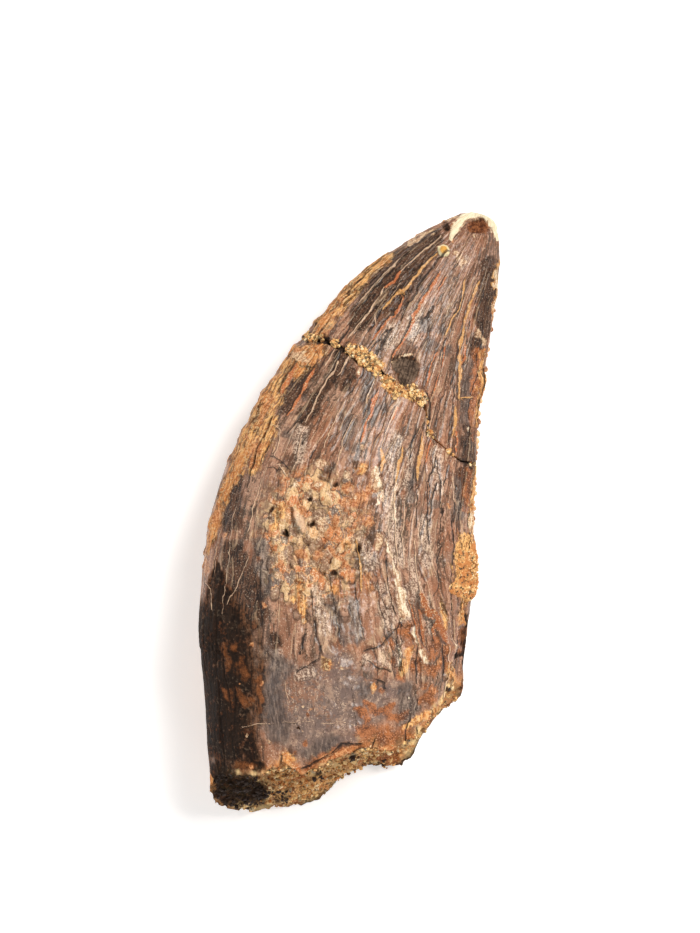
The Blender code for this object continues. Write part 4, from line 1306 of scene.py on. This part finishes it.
# %% Rotten enamel
clod, rotten = board.attribute("clod"), board.attribute("rotten")
nodule, own_tone = board.attribute("nodule"), board.attribute("nodule_tone")
mottle = board.flecked(
    board.two_tone((zones + clod * 0.4).rise(0.35, 0.6), (182, 130, 92), (152, 122, 98)),
    ((reds + clod * 0.3).rise(0.49, 0.58), (216, 140, 88)),
    ((lumps - clod * 0.3).rise(0.48, 0.56), (230, 190, 140)),
    (specks.blend(threads, 0.4).rise(0.47, 0.36) * 0.8, (86, 62, 46)),
    (grit.blend(specks, 0.4).rise(0.53, 0.62) * 0.8, (248, 218, 172)),
    # painted shade in the hollows between clods, where the relief is lowest
    ((1 - clod.size().rise(0.0, 0.22)) * 0.6, (88, 62, 46)))
knob = board.flecked(
    board.two_tone(own_tone.rise(0.42, 0.45), (156, 122, 98), (238, 198, 146)),
    (own_tone.rise(0.64, 0.67), (218, 138, 84)),
    (own_tone.rise(0.84, 0.87), (122, 108, 100)),
    (specks.blend(grit, 0.4).rise(0.48, 0.38) * 0.6, (112, 80, 58)),
    # painted highlight: bright flecks on the tops of the lumps
    (grit.blend(specks).rise(0.52, 0.60) * nodule.rise(0.3, 0.8) * 0.7, (255, 228, 190)))
# painted shade round the foot of each lump
painted_foot_shade = nodule.rise(0.02, 0.20) - nodule.rise(0.20, 0.45)
colour = board.flecked(
    colour,
    ((rotten * 1.3 + ragged * 0.5).rise(0.35, 0.75) * 0.8, mottle),
    ((nodule + (specks - 0.5) * 0.6).rise(0.15, 0.45) * 0.8, knob),
    (painted_foot_shade * 0.7, (66, 45, 33)))
print(len(board.tree.nodes), "nodes")

# %% [markdown]
# Where the root has lost its skin, it is smooth grey-brown bone with fine dark creases. A crease is
# drawn where a noise crosses its middle value, which gives thin lines that wander and meet.

# %% Bare root
creases = 1 - (lumps.blend(clumps, 0.4) - 0.5).size().rise(0.003, 0.012)
hide = board.flecked(
    board.two_tone(lumps.blend(streaks, 0.4).rise(0.42, 0.58), (124, 100, 90), (164, 132, 112)),
    (specks.blend(threads, 0.4).rise(0.50, 0.40) * 0.45, (98, 76, 66)),
    (zones.rise(0.42, 0.55) * 0.5, (112, 98, 92)),
    (lumps.blend(specks).rise(0.53, 0.60) * 0.5, (190, 158, 134)),
    (reds.blend(specks).rise(0.53, 0.62) * 0.6, (150, 100, 70)),
    (grit.blend(threads).rise(0.55, 0.64) * 0.6, (220, 192, 166)),
    (creases * 0.55, (62, 46, 38)))
bare = (board.attribute("bare") + soft * 0.7).rise(-0.15, 0.35) * (1 - end)
colour = board.mix(bare * 0.92, colour, hide)
print(len(board.tree.nodes), "nodes")


# %% [markdown]
# The stains lie over all that, one on another. A stain's reach is the mark stored on the mesh with a
# pattern added before its edge is taken, so that it ends in ragged islands.

# %% Grey, brown and black stains, with a painted sheen and painted shade
def reach_of(name, low, high, edge=ragged):
    """How fully a marked coat covers: 0 outside its stroke, 1 inside, and ragged in between."""
    return (board.attribute(name) + edge).rise(low, high)


# worn grey enamel, its bright flecks a painted sheen
worn_grey_and_sheen = board.two_tone((threads * 0.35 + grit * 0.35 + specks * 0.3).rise(0.44, 0.56),
                        (114, 90, 76), (238, 210, 184))
slate = board.two_tone(threads.rise(0.42, 0.62), (62, 53, 50), (120, 102, 91))
bark = board.flecked(
    board.two_tone(threads.blend(specks, 0.4).rise(0.42, 0.56), (28, 17, 11), (92, 61, 42)),
    (grit.blend(streaks).rise(0.54, 0.63) * 0.35, (146, 104, 74)))
murk = board.flecked(
    board.two_tone(threads.blend(specks, 0.4).rise(0.42, 0.60), (34, 22, 15), (108, 72, 48)),
    (reach_of("dark", 0.12, 0.50, soft * 0.5) * 0.92, (14, 8, 5)),
    (specks.blend(lumps).rise(0.53, 0.62) * 0.45, (110, 64, 38)),
    (specks.blend(clumps, 0.4).rise(0.55, 0.63) * 0.35, (118, 102, 84)))
iron = board.two_tone(grit.blend(lumps, 0.6).rise(0.38, 0.60), (98, 54, 28), (186, 112, 62))
peat = reach_of("peat", -0.45, 0.10, ragged * 0.8 + soft * 0.3)
# the black stain together with painted shade, from the dark mark
dark = reach_of("dark", -0.45, 0.25, soft * 0.9)
colour = board.flecked(
    colour,
    (reach_of("grey", -0.3, 0.6) * 0.62, worn_grey_and_sheen),
    (reach_of("slate", -0.3, 0.5, soft) * 0.75, slate),
    (peat * 0.95, bark),
    (dark * 0.97, murk),
    (reach_of("rust", -0.3, 0.6, soft) * (1 - dark * 0.6) * 0.85, iron))
print(len(board.tree.nodes), "nodes")

# %% [markdown]
# The crusts are golden, orange and cream, with darker and brighter specks of their own. The smooth
# facet beside the break is slate brown, and the worn window in the tip shows red-brown dentine.

# %% Golden, orange and cream crusts
gold = board.flecked(
    board.two_tone(threads.blend(specks, 0.4).rise(0.42, 0.58), (174, 106, 58), (255, 196, 124)),
    (reds.rise(0.46, 0.60) * 0.6, (206, 124, 66)),
    (streaks.blend(lumps).rise(0.51, 0.60) * 0.85, (76, 52, 36)),
    (grit.blend(scales, 0.4).rise(0.56, 0.70) * 0.6, (248, 212, 156)))
flame = board.two_tone(grit.blend(specks, 0.6).rise(0.40, 0.60), (164, 92, 50), (224, 162, 110))
pinkish = board.two_tone(grit.blend(specks).rise(0.42, 0.58), (176, 128, 94), (236, 204, 164))
sandy = board.two_tone(grit.blend(specks).rise(0.40, 0.56), (150, 98, 54), (252, 194, 122))
worn = board.two_tone(specks.rise(0.4, 0.6), (84, 68, 56), (130, 108, 90))
dentine = board.two_tone(specks.rise(0.4, 0.6), (92, 48, 28), (172, 108, 68))
ochre, sand = reach_of("ochre", -0.2, 0.45), reach_of("sand", 0.0, 0.4)
colour = board.flecked(
    colour,
    (ochre * 0.9, gold),
    (reach_of("orange", -0.1, 0.5) * 0.9, flame),
    (reach_of("cream", -0.1, 0.45) * 0.9, pinkish),
    (sand * 0.9, sandy),
    (board.attribute("facet").rise(0.0, 0.15) * 0.8, worn),
    (board.attribute("window").rise(-0.1, 0.3) * 0.9, dentine))
print(len(board.tree.nodes), "nodes")

# %% [markdown]
# The relief has cracks where its two split patterns cross zero, and the same numbers are stored on
# the mesh. So a crack gets painted shade here exactly where it is deep there, with a painted
# highlight on the lip beside it, and the foot of each plate gets painted shade as well.

# %% Cracks and the feet of plates, with painted shade and painted highlights
crown = board.attribute("crown") * (1 - end) * (1 - bare) * (1 - rotten * 0.85)
gaping = board.attribute("open")
crack = gaping * (1 - split.size().rise(0.006, 0.045))
painted_highlight_lip = (split.rise(0.03, 0.07) - split.rise(0.09, 0.18)) * (0.3 + 0.7 * gaping)
plate = board.attribute("plate") + (specks - 0.5) * 0.3
# painted shade in cracks and round the feet of plates, and a painted highlight on crack lips
colour = board.flecked(
    colour,
    (crack * crown * 0.68, (38, 26, 19)),
    (painted_highlight_lip * crown * (1 - dark) * 0.32 * threads.rise(0.35, 0.55), (236, 204, 164)),
    ((1 - fine.size().rise(0.01, 0.08)) * crown * 0.5, (58, 40, 29)),
    ((plate.rise(-0.24, -0.10) - plate.rise(-0.06, 0.02)) * 0.55, (46, 32, 23)))
print(len(board.tree.nodes), "nodes")

# %% [markdown]
# The brightest places come next: the round spot of calcite, the bright flakes of calcite with
# painted highlights among them, painted glints on the grit, and the cream arch over the worn tip.

# %% Calcite, painted highlights and painted glints
spot = board.attribute("spot") + (specks - 0.5) * 0.25
halo = board.two_tone(spot.rise(0.25, 0.55), (248, 232, 184), (218, 160, 70))
pearl_and_highlight = board.two_tone(threads.blend(grit, 0.4).rise(0.42, 0.60), (198, 156, 116), (252, 238, 208))
ivory = board.two_tone(threads.rise(0.34, 0.52), (226, 190, 146), (255, 244, 208))
colour = board.flecked(
    colour,
    (spot.rise(0.0, 0.15), halo),
    (reach_of("bright", 0.0, 0.5, (specks - 0.5) * 0.8 + (threads - 0.5) * 1.6) * 0.9, pearl_and_highlight),
    # painted glints: tiny bright specks on the grit
    (grit.rise(0.62, 0.70) * (1 - dark.most(bare)) * 0.22, (250, 230, 204)),
    (reach_of("arch", -0.05, 0.25, (threads - 0.5) * 0.5) * 0.95, ivory))
print(len(board.tree.nodes), "nodes")

# %% [markdown]
# The veins come last, over everything. Their tone runs from black over cream, gold and orange to
# rust. Each has a painted shade along one side, as a raised vein has in the light of one lamp,
# which makes it stand out of its crack. The gloss of the enamel is a clear coat, and crusts, stains
# and rotten places have less of it or none.

# %% Veins, gloss and the finished enamel
COAT_SHARE = 0.64
COAT_ROUGHNESS = 0.26
SPECULAR_LEVEL = 0.12
ENAMEL_BUMP = 0.00022
side, tone, near = (board.attribute(name) for name in ("vein_side", "vein_tone", "vein_near"))
reach = side.size() + (lumps - 0.5) * 2.6 + (specks - 0.5) * 2.4
warm = board.flecked(
    board.two_tone(tone.rise(0.1, 0.4), (228, 190, 158), (216, 158, 94)),
    (tone.rise(0.4, 0.7), (196, 112, 66)),
    (tone.rise(0.7, 1.0), (164, 90, 46)),
    (specks.rise(0.45, 0.30) * 0.6, (124, 76, 48)),
    (grit.rise(0.55, 0.68) * 0.6, (250, 220, 170)))
vein = near * (1 - reach.rise(0.55, 1.25)) * tone.rise(0.5, -0.2).most(tone.rise(0.1, 0.4))
# painted shade: a dark line along one side of each vein, as one lamp would shade it
painted_vein_shade = near * ((side + (specks - 0.5) * 1.6).rise(0.5, 1.3) - side.rise(1.8, 3.4))
colour = board.flecked(
    colour,
    (painted_vein_shade * 0.7, (46, 31, 23)),
    (vein * 0.9, board.mix(tone.rise(-0.6, -0.2), tint(32, 22, 17), warm)))

height = threads * 0.5 + specks * 0.4 + flakes * 0.25 + scales * 0.2 + grit * 0.3
rough_share = ochre.most(sand).most(end).most(rotten * 0.6)
roughness = 0.48 + 0.2 * lumps + 0.20 * rough_share + 0.15 * dark
gloss = (1 - rough_share) * (1 - dark) * (1 - peat * 0.5) * (0.5 + specks * 0.6) * COAT_SHARE
board.plug(board.shader, {"Coat Weight": gloss, "Coat Roughness": COAT_ROUGHNESS,
                          "Specular IOR Level": SPECULAR_LEVEL})
ENAMEL = board.finish(colour, roughness, height, ENAMEL_BUMP, 0.9)
print("enamel:", len(ENAMEL.node_tree.nodes), "nodes")

# %% [markdown]
# ## The two fragments, made
# The tip fragment is skin from its lip to the very point. Behind the lip a few rings turn in, go down
# the wall of the break and close the ball inside it, where the sandstone hides them.

# %% The tip fragment
TIP_RINGS = 214
LIP_DEPTHS = (0.10, 0.30, 0.60, 0.90)
CORE_SHARES = (0.8, 0.55, 0.3, 0.0)
TIP_SETBACK = lip_setback(TURNS, SEAM_RUNS, 51.0)
tip_runs = np.linspace(SEAM_RUNS + TIP_SETBACK, FINE_RUNS[-1], TIP_RINGS + 1)
tip_turns = np.broadcast_to(TURNS, tip_runs.shape)
skin, outward, marks = finished_surface(tip_runs, tip_turns)
core = shoulder(skin[0], outward[0], skin[0].mean(axis=0), LIP_DEPTHS, CORE_SHARES)
rows = np.concatenate([core[::-1], skin])
marks["end_grain"] = np.zeros(tip_runs.shape)
marks = stretched(marks, len(core), 0)
marks["end_grain"][:len(core)] = 1.0
ball_piece("crown_tip", rows, marks, ENAMEL)

# %% [markdown]
# The other fragment ends in the broken root. Its end is made of ever smaller and smoother copies of
# the rim, each set a little further into the root, and roughened with lumps. The rim itself stays
# ragged, and the middle closes in one point.

# %% The broken end of the root
FRACTURE_RINGS = 26
FRACTURE_HOLLOW = 1.6
SMOOTHING_REACHES = (2, 4, 6)


def fracture(rim):
    """Rings of the broken root's end, from its middle out. Each is a smoother copy of the rim than
    the one outside it."""
    middle, rings = rim.mean(axis=0), []
    for share in np.arange(FRACTURE_RINGS)[::-1] / FRACTURE_RINGS:
        for reach in SMOOTHING_REACHES:
            rim = (np.roll(rim, reach, axis=0) + 2 * rim + np.roll(rim, -reach, axis=0)) / 4
        ring = middle + (rim - middle) * share
        lumps = 1.0 * rough(ring, 2.4, 7.0) + 0.8 * rough(ring, 1.1, 8.0) + 0.36 * grain(ring, 0.5, 61.0)
        knobs = np.sqrt(np.clip(inside(plan_of(ring), LUMPS), 0, 1))
        ring[:, 1] += FRACTURE_HOLLOW * (1 - share ** 2) + (lumps - 0.5 * knobs) * (1 - share ** 6)
        rings.insert(0, ring)
    return np.array(rings)


crumbled = 0.35 * grain(on_body(RIM, TURNS), 0.8, 62.0) + 0.15 * grain(on_body(RIM, TURNS), 0.35, 63.0)
ROOT_RUNS = RIM + np.maximum(crumbled, -0.1)
print("the root ends", round(ROOT_RUNS.min(), 1), "to", round(ROOT_RUNS.max(), 1), "mm along")

# %% The body fragment
SHAFT_RINGS = 186
END_GRAIN_REACH = 1.1
BODY_SETBACK = lip_setback(TURNS, SEAM_RUNS, 55.0)
shaft_runs = np.linspace(ROOT_RUNS, SEAM_RUNS - BODY_SETBACK, SHAFT_RINGS)
shaft_turns = np.broadcast_to(TURNS, shaft_runs.shape)
skin, outward, marks = finished_surface(shaft_runs, shaft_turns)
root_end = fracture(skin[0])
core = shoulder(skin[-1], outward[-1], skin[-1].mean(axis=0), LIP_DEPTHS, CORE_SHARES)
rows = np.concatenate([root_end, skin, core])
from_rim = shaft_runs - shaft_runs[0] + 0.6 * grain(skin, 0.8, 64.0)
marks["end_grain"] = smoothstep(END_GRAIN_REACH, 0.1, from_rim)
marks = stretched(marks, len(root_end), len(core))
marks["end_grain"][:len(root_end)] = 1.0
marks["end_grain"][-len(core):] = 1.0
marks["vein_near"][:len(root_end)] = 0
shares = (np.arange(FRACTURE_RINGS) / FRACTURE_RINGS)[:, None, None]
end_lie = marks["lie"][:len(root_end)] * (1, 1, 0) * shares + root_end
marks["lie"][:len(root_end)] = end_lie
for key, values in colour_marks(root_end, end_lie, facing_up=1.0, front=0.0, root=1.0)[0].items():
    marks[key][:len(root_end)] = values
ball_piece("crown_and_root", rows, marks, ENAMEL)

# %% [markdown]
# ## Sandstone in the break
# Sand washed into the break and set hard. It is a band that goes all round, uneven and pitted, with
# loose grains on it. The band is a grid rolled into a ring, because its two directions are then the
# run and the turn of the tooth, and its top can follow the lips on both sides.

# %% The finish of the sandstone
SANDSTONE_BUMP = 0.00010


def sandstone_finish():
    """Golden and gritty. Each grain has a tone. The deep mark darkens it: painted shade in pores and
    in the low gap of the break, a darker tone of some loose grains, and the black stain of the root.
    """
    board = Board("golden_sandstone")
    place = board.place()
    lumps, grit = board.noise(place, 1.6, 3, 0.6), board.noise(place, 6.5, 3, 0.7)
    pores = board.noise(place, 3.2, 3, 0.55)
    tone = board.attribute("tone")
    golden = (grit.blend(lumps, 0.6) + tone * 0.3).rise(0.42, 0.70)
    colour = board.flecked(
        board.two_tone(golden, (196, 124, 64), (255, 212, 142)),
        ((tone + grit).rise(1.1, 1.5) * 0.8, (255, 236, 196)),
        (pores.rise(0.56, 0.62) * 0.9, (46, 30, 18)),
        # painted shade in pores and gaps, with stains and darker grains, all from the deep mark
        (board.attribute("deep").rise(0.1, 0.7), (52, 33, 21)))
    return board.finish(colour, 0.62 + 0.3 * grit, grit + pores, SANDSTONE_BUMP)


SANDSTONE = sandstone_finish()
print("sandstone:", len(SANDSTONE.node_tree.nodes), "nodes")

# %% The band in the break
BAND_STEPS = 900
BAND_AROUND = 30
BAND_LAP = 0.34
BAND_DEEP = 0.85
BAND_SUNK = 0.34
BAND_HEAPED = 0.20
BAND_RAGGED = 0.5
PORE_DEPTH = 0.35
BAND_HALF = (TIP_SETBACK + BODY_SETBACK) / 2 + BAND_LAP


def heaped_share(points, turns, marks):
    """How far up the break the sand reaches: 1 is heaped over the lips, 0 is a low gap, which gets
    painted shade.
    """
    share = np.maximum(smoothstep(-0.3, 0.5, marks["heap"]), 0.8 * smoothstep(-0.1, 0.5, -np.sin(turns)))
    return np.clip(share + 0.7 * grain(points, 1.1, 75.0), 0, 1)


def all_round(shares, column_values, last):
    """A value given for each column, read at any share of the way round the tooth."""
    return np.interp(shares * COLUMNS, np.arange(COLUMNS + 1), [*column_values, last])


def band_place(grid):
    """Places the band: one way of the grid goes round the tooth, and the other round the band."""
    share, around = (grid[:, 0] + 1) / 2, (grid[:, 1] + 1) * np.pi
    turns = all_round(share, TURNS, TURNS[0] + 2 * np.pi)
    seam = all_round(share, SEAM_RUNS, SEAM_RUNS[0])
    lip = on_body(seam, turns) + np.sign(np.cos(around))[:, None]
    half = all_round(share, BAND_HALF, BAND_HALF[0]) * (1 + BAND_RAGGED * grain(lip, 0.55, 76.0))
    runs = seam + np.cos(around) * half
    points, marks = read_marks(runs, turns % (2 * np.pi))
    skin = relief(points, runs, turns, marks)
    crumbs = (0.16 * grain(points, 0.6, 71.0) + 0.14 * grain(points, 0.28, 72.0)
              + 0.05 * grain(points, 0.14, 73.0))
    pores = smoothstep(0.10, 0.42, grain(points, 0.55, 74.0))
    heaped = heaped_share(points, turns, marks)
    height = np.sin(around)
    top = skin - BAND_SUNK + BAND_HEAPED * heaped + crumbs - PORE_DEPTH * pores
    out = np.where(height > 0, top - 0.25 * (1 - np.abs(height) ** 0.4), skin - 0.35 + BAND_DEEP * height)
    # painted shade in the pores and where the sand lies low in the gap
    kept = {"deep": np.maximum(pores, 0.75 * (1 - heaped)), "tone": np.zeros(len(points))}
    return points + surface_normals(runs, turns) * out[:, None], kept


bm = bmesh.new()
bmesh.ops.create_grid(bm, x_segments=BAND_STEPS, y_segments=BAND_AROUND, size=1)
add_piece("break_sandstone", laid("break_sandstone", bm, band_place), SANDSTONE, ["break_fill"])

# %% [markdown]
# Sand shows as single grains where it has spilled over the lips. A grain is a ball of 20 faces with
# its corners pushed in and out, stretched and turned its own way, so it looks broken rather than
# round. All grains of a heap are one mesh.

# %% Loose grains
def many_balls(count, subdivisions):
    """A bmesh with so many copies of one small ball, and how many corners each copy has."""
    bm = bmesh.new()
    bmesh.ops.create_icosphere(bm, subdivisions=subdivisions, radius=1)
    one = bpy.data.meshes.new("one_ball")
    bm.to_mesh(one)
    corners = len(bm.verts)
    bm.clear()
    for _ in range(count):
        bm.from_mesh(one)
    bpy.data.meshes.remove(one)
    return bm, corners


def grain_mesh(name, points, sizes, seed, tones, shades):
    """Many small angular grains in one mesh, each turned and stretched its own way."""
    roll = np.random.default_rng(seed)
    bm, corners = many_balls(len(points), 1)
    turns, _ = np.linalg.qr(roll.normal(size=(len(points), 3, 3)))
    turns *= np.linalg.det(turns)[:, None, None]
    stretch = roll.uniform(0.6, 1.25, (len(points), 1, 3))

    def place(balls):
        balls = balls.reshape(-1, corners, 3)
        shaped = balls * stretch * (1 + roll.uniform(-0.22, 0.22, (*balls.shape[:2], 1)))
        placed = np.einsum("gij,gkj->gki", turns, shaped) * sizes[:, None, None] + points[:, None]
        return placed.reshape(-1, 3), {"tone": np.repeat(tones, corners), "deep": np.repeat(shades, corners)}

    return laid(name, bm, place)


def add_grains(name, mesh):
    """Adds a mesh of grains as a piece, with their faces left flat."""
    add_piece(name, mesh, SANDSTONE)
    mesh.shade_flat()


def scatter_grains(name, runs, turns, lift, sizes, seed, shade=0.0):
    """Grains on the finished surface, lifted off it or sunk in it, some of them in shade."""
    points, normals, _ = finished_surface(runs, turns)
    points = points + normals * lift[:, None]
    tones, shades = np.random.default_rng(seed + 1).uniform(0, 1, (2, len(points)))
    add_grains(name, grain_mesh(name, points, sizes, seed, tones ** 1.5, shade * (0.15 + shades ** 2)))


print("the band is", round(2 * BAND_HALF.min(), 2), "to", round(2 * BAND_HALF.max(), 2), "mm wide")

# %% [markdown]
# The grains are rolled out beside the seam, most of them close to it. A grain is held where the sand
# is heaped in the gap, or where a heap has spilled over the lip. The rest are thrown away.

# %% Grains in and beside the break
roll = np.random.default_rng(81)
BREAK_GRAINS = 14000
SPILL = 0.75
column = roll.uniform(0, COLUMNS, BREAK_GRAINS)
gap = np.interp(column, np.arange(COLUMNS), BAND_HALF) - BAND_LAP
aside = roll.normal(0, SPILL, BREAK_GRAINS)
grain_turns = np.interp(column, np.arange(COLUMNS), TURNS)
grain_runs = np.interp(column, np.arange(COLUMNS), SEAM_RUNS) + aside
bed, bed_marks = read_marks(grain_runs, grain_turns)
inside_gap = 0.6 * heaped_share(bed, grain_turns, bed_marks) * (np.abs(aside) < gap)
spilled = 0.45 * smoothstep(0.0, 0.6, bed_marks["heap"] + 0.5 * grain(bed, 0.6, 78.0))
held = roll.uniform(0, 1, BREAK_GRAINS) < np.maximum(inside_gap, spilled)
lift = roll.uniform(-0.16, 0.05, held.sum())
sizes = 0.05 + 0.17 * roll.uniform(0, 1, held.sum()) ** 1.6
scatter_grains("break_grains", grain_runs[held], grain_turns[held], lift, sizes, 82, shade=0.5)
print(held.sum(), "grains in and beside the break")

# %% [markdown]
# The broken root end is crumbly too. Sand and bits of bone stick all over it, dark where it is
# stained black. They give it a coarse look, which a pattern on a smooth surface wouldn't.

# %% Crumbs on the broken end
CRUMBS = 8500
CRUMB_SCATTER = 0.12
CRUMB_OUT = (0, 0.05, 0)
end_points = root_end.reshape(-1, 3)
end_stains = smoothstep(-0.3, 0.15, marks["dark"][:len(root_end)]).reshape(-1)
chosen = roll.integers(0, len(end_points), CRUMBS)
beds = end_points[chosen] + roll.normal(0, CRUMB_SCATTER, (CRUMBS, 3)) - CRUMB_OUT
crumb_sizes = 0.06 + 0.18 * roll.uniform(0, 1, CRUMBS) ** 2
tones, shades = roll.uniform(0, 1, (2, CRUMBS))
shades = np.maximum(0.5 * shades ** 2, end_stains[chosen])
add_grains("root_crumbs", grain_mesh("root_crumbs", beds, crumb_sizes, 97, tones ** 1.5, shades))

# %% [markdown]
# A second patch of the same sandstone still clings to the distal edge. It is a ball squashed onto the
# edge. Its rim dips just under the enamel, unevenly, so the two meet along a ragged line.

# %% Sandstone on the distal edge
PATCH_Y = -8.9
PATCH_HALF_LENGTH = 3.3
PATCH_HALF_TURN = 0.66
PATCH_THICKNESS = 0.50
PATCH_RIM = 0.10
PATCH_PORE_DEPTH = 0.22
patch_middle = np.interp(PATCH_Y, smooth_through(STATIONS, FINE_STATIONS)[:, 3], FINE_RUNS)


def patch_reach(angle):
    """How far the patch reaches each way round, so that its outline is uneven."""
    return 0.86 + 0.14 * np.sin(3 * angle + 0.6) + 0.09 * np.sin(5 * angle + 2.0) + 0.06 * np.sin(9 * angle)


def patch_place(ball):
    """Places the squashed ball: its upper half is the crumbly skin, and the rest is in the tooth."""
    reach = patch_reach(np.arctan2(ball[:, 1], ball[:, 0]))
    runs = patch_middle + ball[:, 0] * PATCH_HALF_LENGTH * reach
    turns = ball[:, 1] * PATCH_HALF_TURN * reach
    points, marks = read_marks(runs, turns % (2 * np.pi))
    skin = relief(points, runs, turns, marks)
    crumbs = (0.16 * grain(points, 0.7, 91.0) + 0.12 * grain(points, 0.3, 92.0)
              + 0.05 * grain(points, 0.15, 93.0))
    pores = smoothstep(0.4, 0.7, grain(points, 0.5, 94.0))
    height = ball[:, 2]
    domed = (PATCH_THICKNESS + PATCH_RIM) * np.abs(height) ** 0.6
    top = skin - PATCH_RIM + domed * (0.62 + 0.8 * crumbs) + crumbs - PATCH_PORE_DEPTH * pores
    out = np.where(height > 0, top, skin - PATCH_RIM - 0.3 * np.abs(height))
    # painted shade in the pores
    kept = {"deep": pores, "tone": np.zeros(len(points))}
    return points + surface_normals(runs, turns) * out[:, None], kept


bm = bmesh.new()
bmesh.ops.create_uvsphere(bm, u_segments=150, v_segments=90, radius=1)
add_piece("edge_sandstone", laid("edge_sandstone", bm, patch_place), SANDSTONE, ["edge_matrix"])

# %% Grains on the patch
PATCH_GRAINS = 900
angle, radius = roll.uniform(0, 2 * np.pi, PATCH_GRAINS), np.sqrt(roll.uniform(0, 1, PATCH_GRAINS))
outer = radius * patch_reach(angle)
grain_runs = patch_middle + outer * np.cos(angle) * PATCH_HALF_LENGTH
grain_turns = outer * np.sin(angle) * PATCH_HALF_TURN % (2 * np.pi)
lift = 0.36 * (1 - radius ** 3) + roll.uniform(-0.08, 0.04, PATCH_GRAINS)
sizes = roll.uniform(0.04, 0.10, PATCH_GRAINS)
scatter_grains("edge_grains", grain_runs, grain_turns, lift, sizes, 95)

# %% [markdown]
# ## Serrations
# The rear edge of a tyrannosaur's tooth is a row of chisel-shaped denticles, the steak-knife edge.
# Here some are worn away. Each is a small ball, flattened across the edge, and half sunk in it.

# %% Where the denticles stand
# Each stretch is given by its ends, as heights on the drawing. The half sizes of a denticle are along
# the edge, outwards and upwards.
SERRATED_STRETCHES = ((0.6, 13.5), (-5.6, -0.7))
DENTICLE_PITCH = 0.52
DENTICLE_HALF_SIZES = (0.28, 0.44, 0.24)
DENTICLE_SUNK = 0.16
edge_y = smooth_through(STATIONS, FINE_STATIONS)[:, 3]
denticle_runs = np.concatenate([
    np.arange(*np.interp(stretch, edge_y, FINE_RUNS), DENTICLE_PITCH) for stretch in SERRATED_STRETCHES])
denticle_runs = denticle_runs + roll.uniform(-0.05, 0.05, len(denticle_runs))
edge = smooth_through(STATIONS, station_of(denticle_runs))
outs = np.stack([edge[:, 2] - edge[:, 0], edge[:, 3] - edge[:, 1], np.zeros(len(edge))], -1)
outs /= np.linalg.norm(outs, axis=-1, keepdims=True)
ups = np.broadcast_to((0.0, 0.0, 1.0), outs.shape)
alongs = np.cross(ups, outs)
heights = roll.uniform(0.45, 1.1, len(denticle_runs))
middles = edge[:, (2, 3, 6)] - outs * (DENTICLE_SUNK * (2 - heights))[:, None]
print(len(denticle_runs), "denticles")

# %% Serrations
SERRATION_BUMP = 0.00008


def serration_finish():
    """Golden brown, paler in flecks of grit. Each denticle has a tone of its own."""
    board = Board("worn_serrations")
    grit = board.noise(board.place(), 5.0, 3, 0.6)
    golden = (grit + board.attribute("tone") * 0.5).rise(0.5, 0.85)
    colour = board.two_tone(golden, (140, 84, 52), (236, 190, 142))
    return board.finish(colour, 0.45 + 0.25 * grit, grit, SERRATION_BUMP)


def denticle_place(balls):
    """Places each ball on the edge, flattened across it and as tall as its wear has left it."""
    balls = balls.reshape(-1, denticle_corners, 3)
    axes = np.stack([alongs, outs * heights[:, None], ups], 1) * np.array(DENTICLE_HALF_SIZES)[:, None]
    points = (np.einsum("gkj,gji->gki", balls, axes) + middles[:, None]).reshape(-1, 3)
    tones = np.repeat(roll.uniform(0, 1, len(denticle_runs)), denticle_corners)
    return points + 0.05 * grain(points, 0.25, 96.0)[:, None], {"tone": tones}


bm, denticle_corners = many_balls(len(denticle_runs), 2)
add_piece("serrations", laid("serrations", bm, denticle_place), serration_finish())

# %% [markdown]
# Every vertex was pressed into the packed solids' box by boxed, so the finished tooth reaches no
# further than the solids. That says nothing of how well the shapes fit.
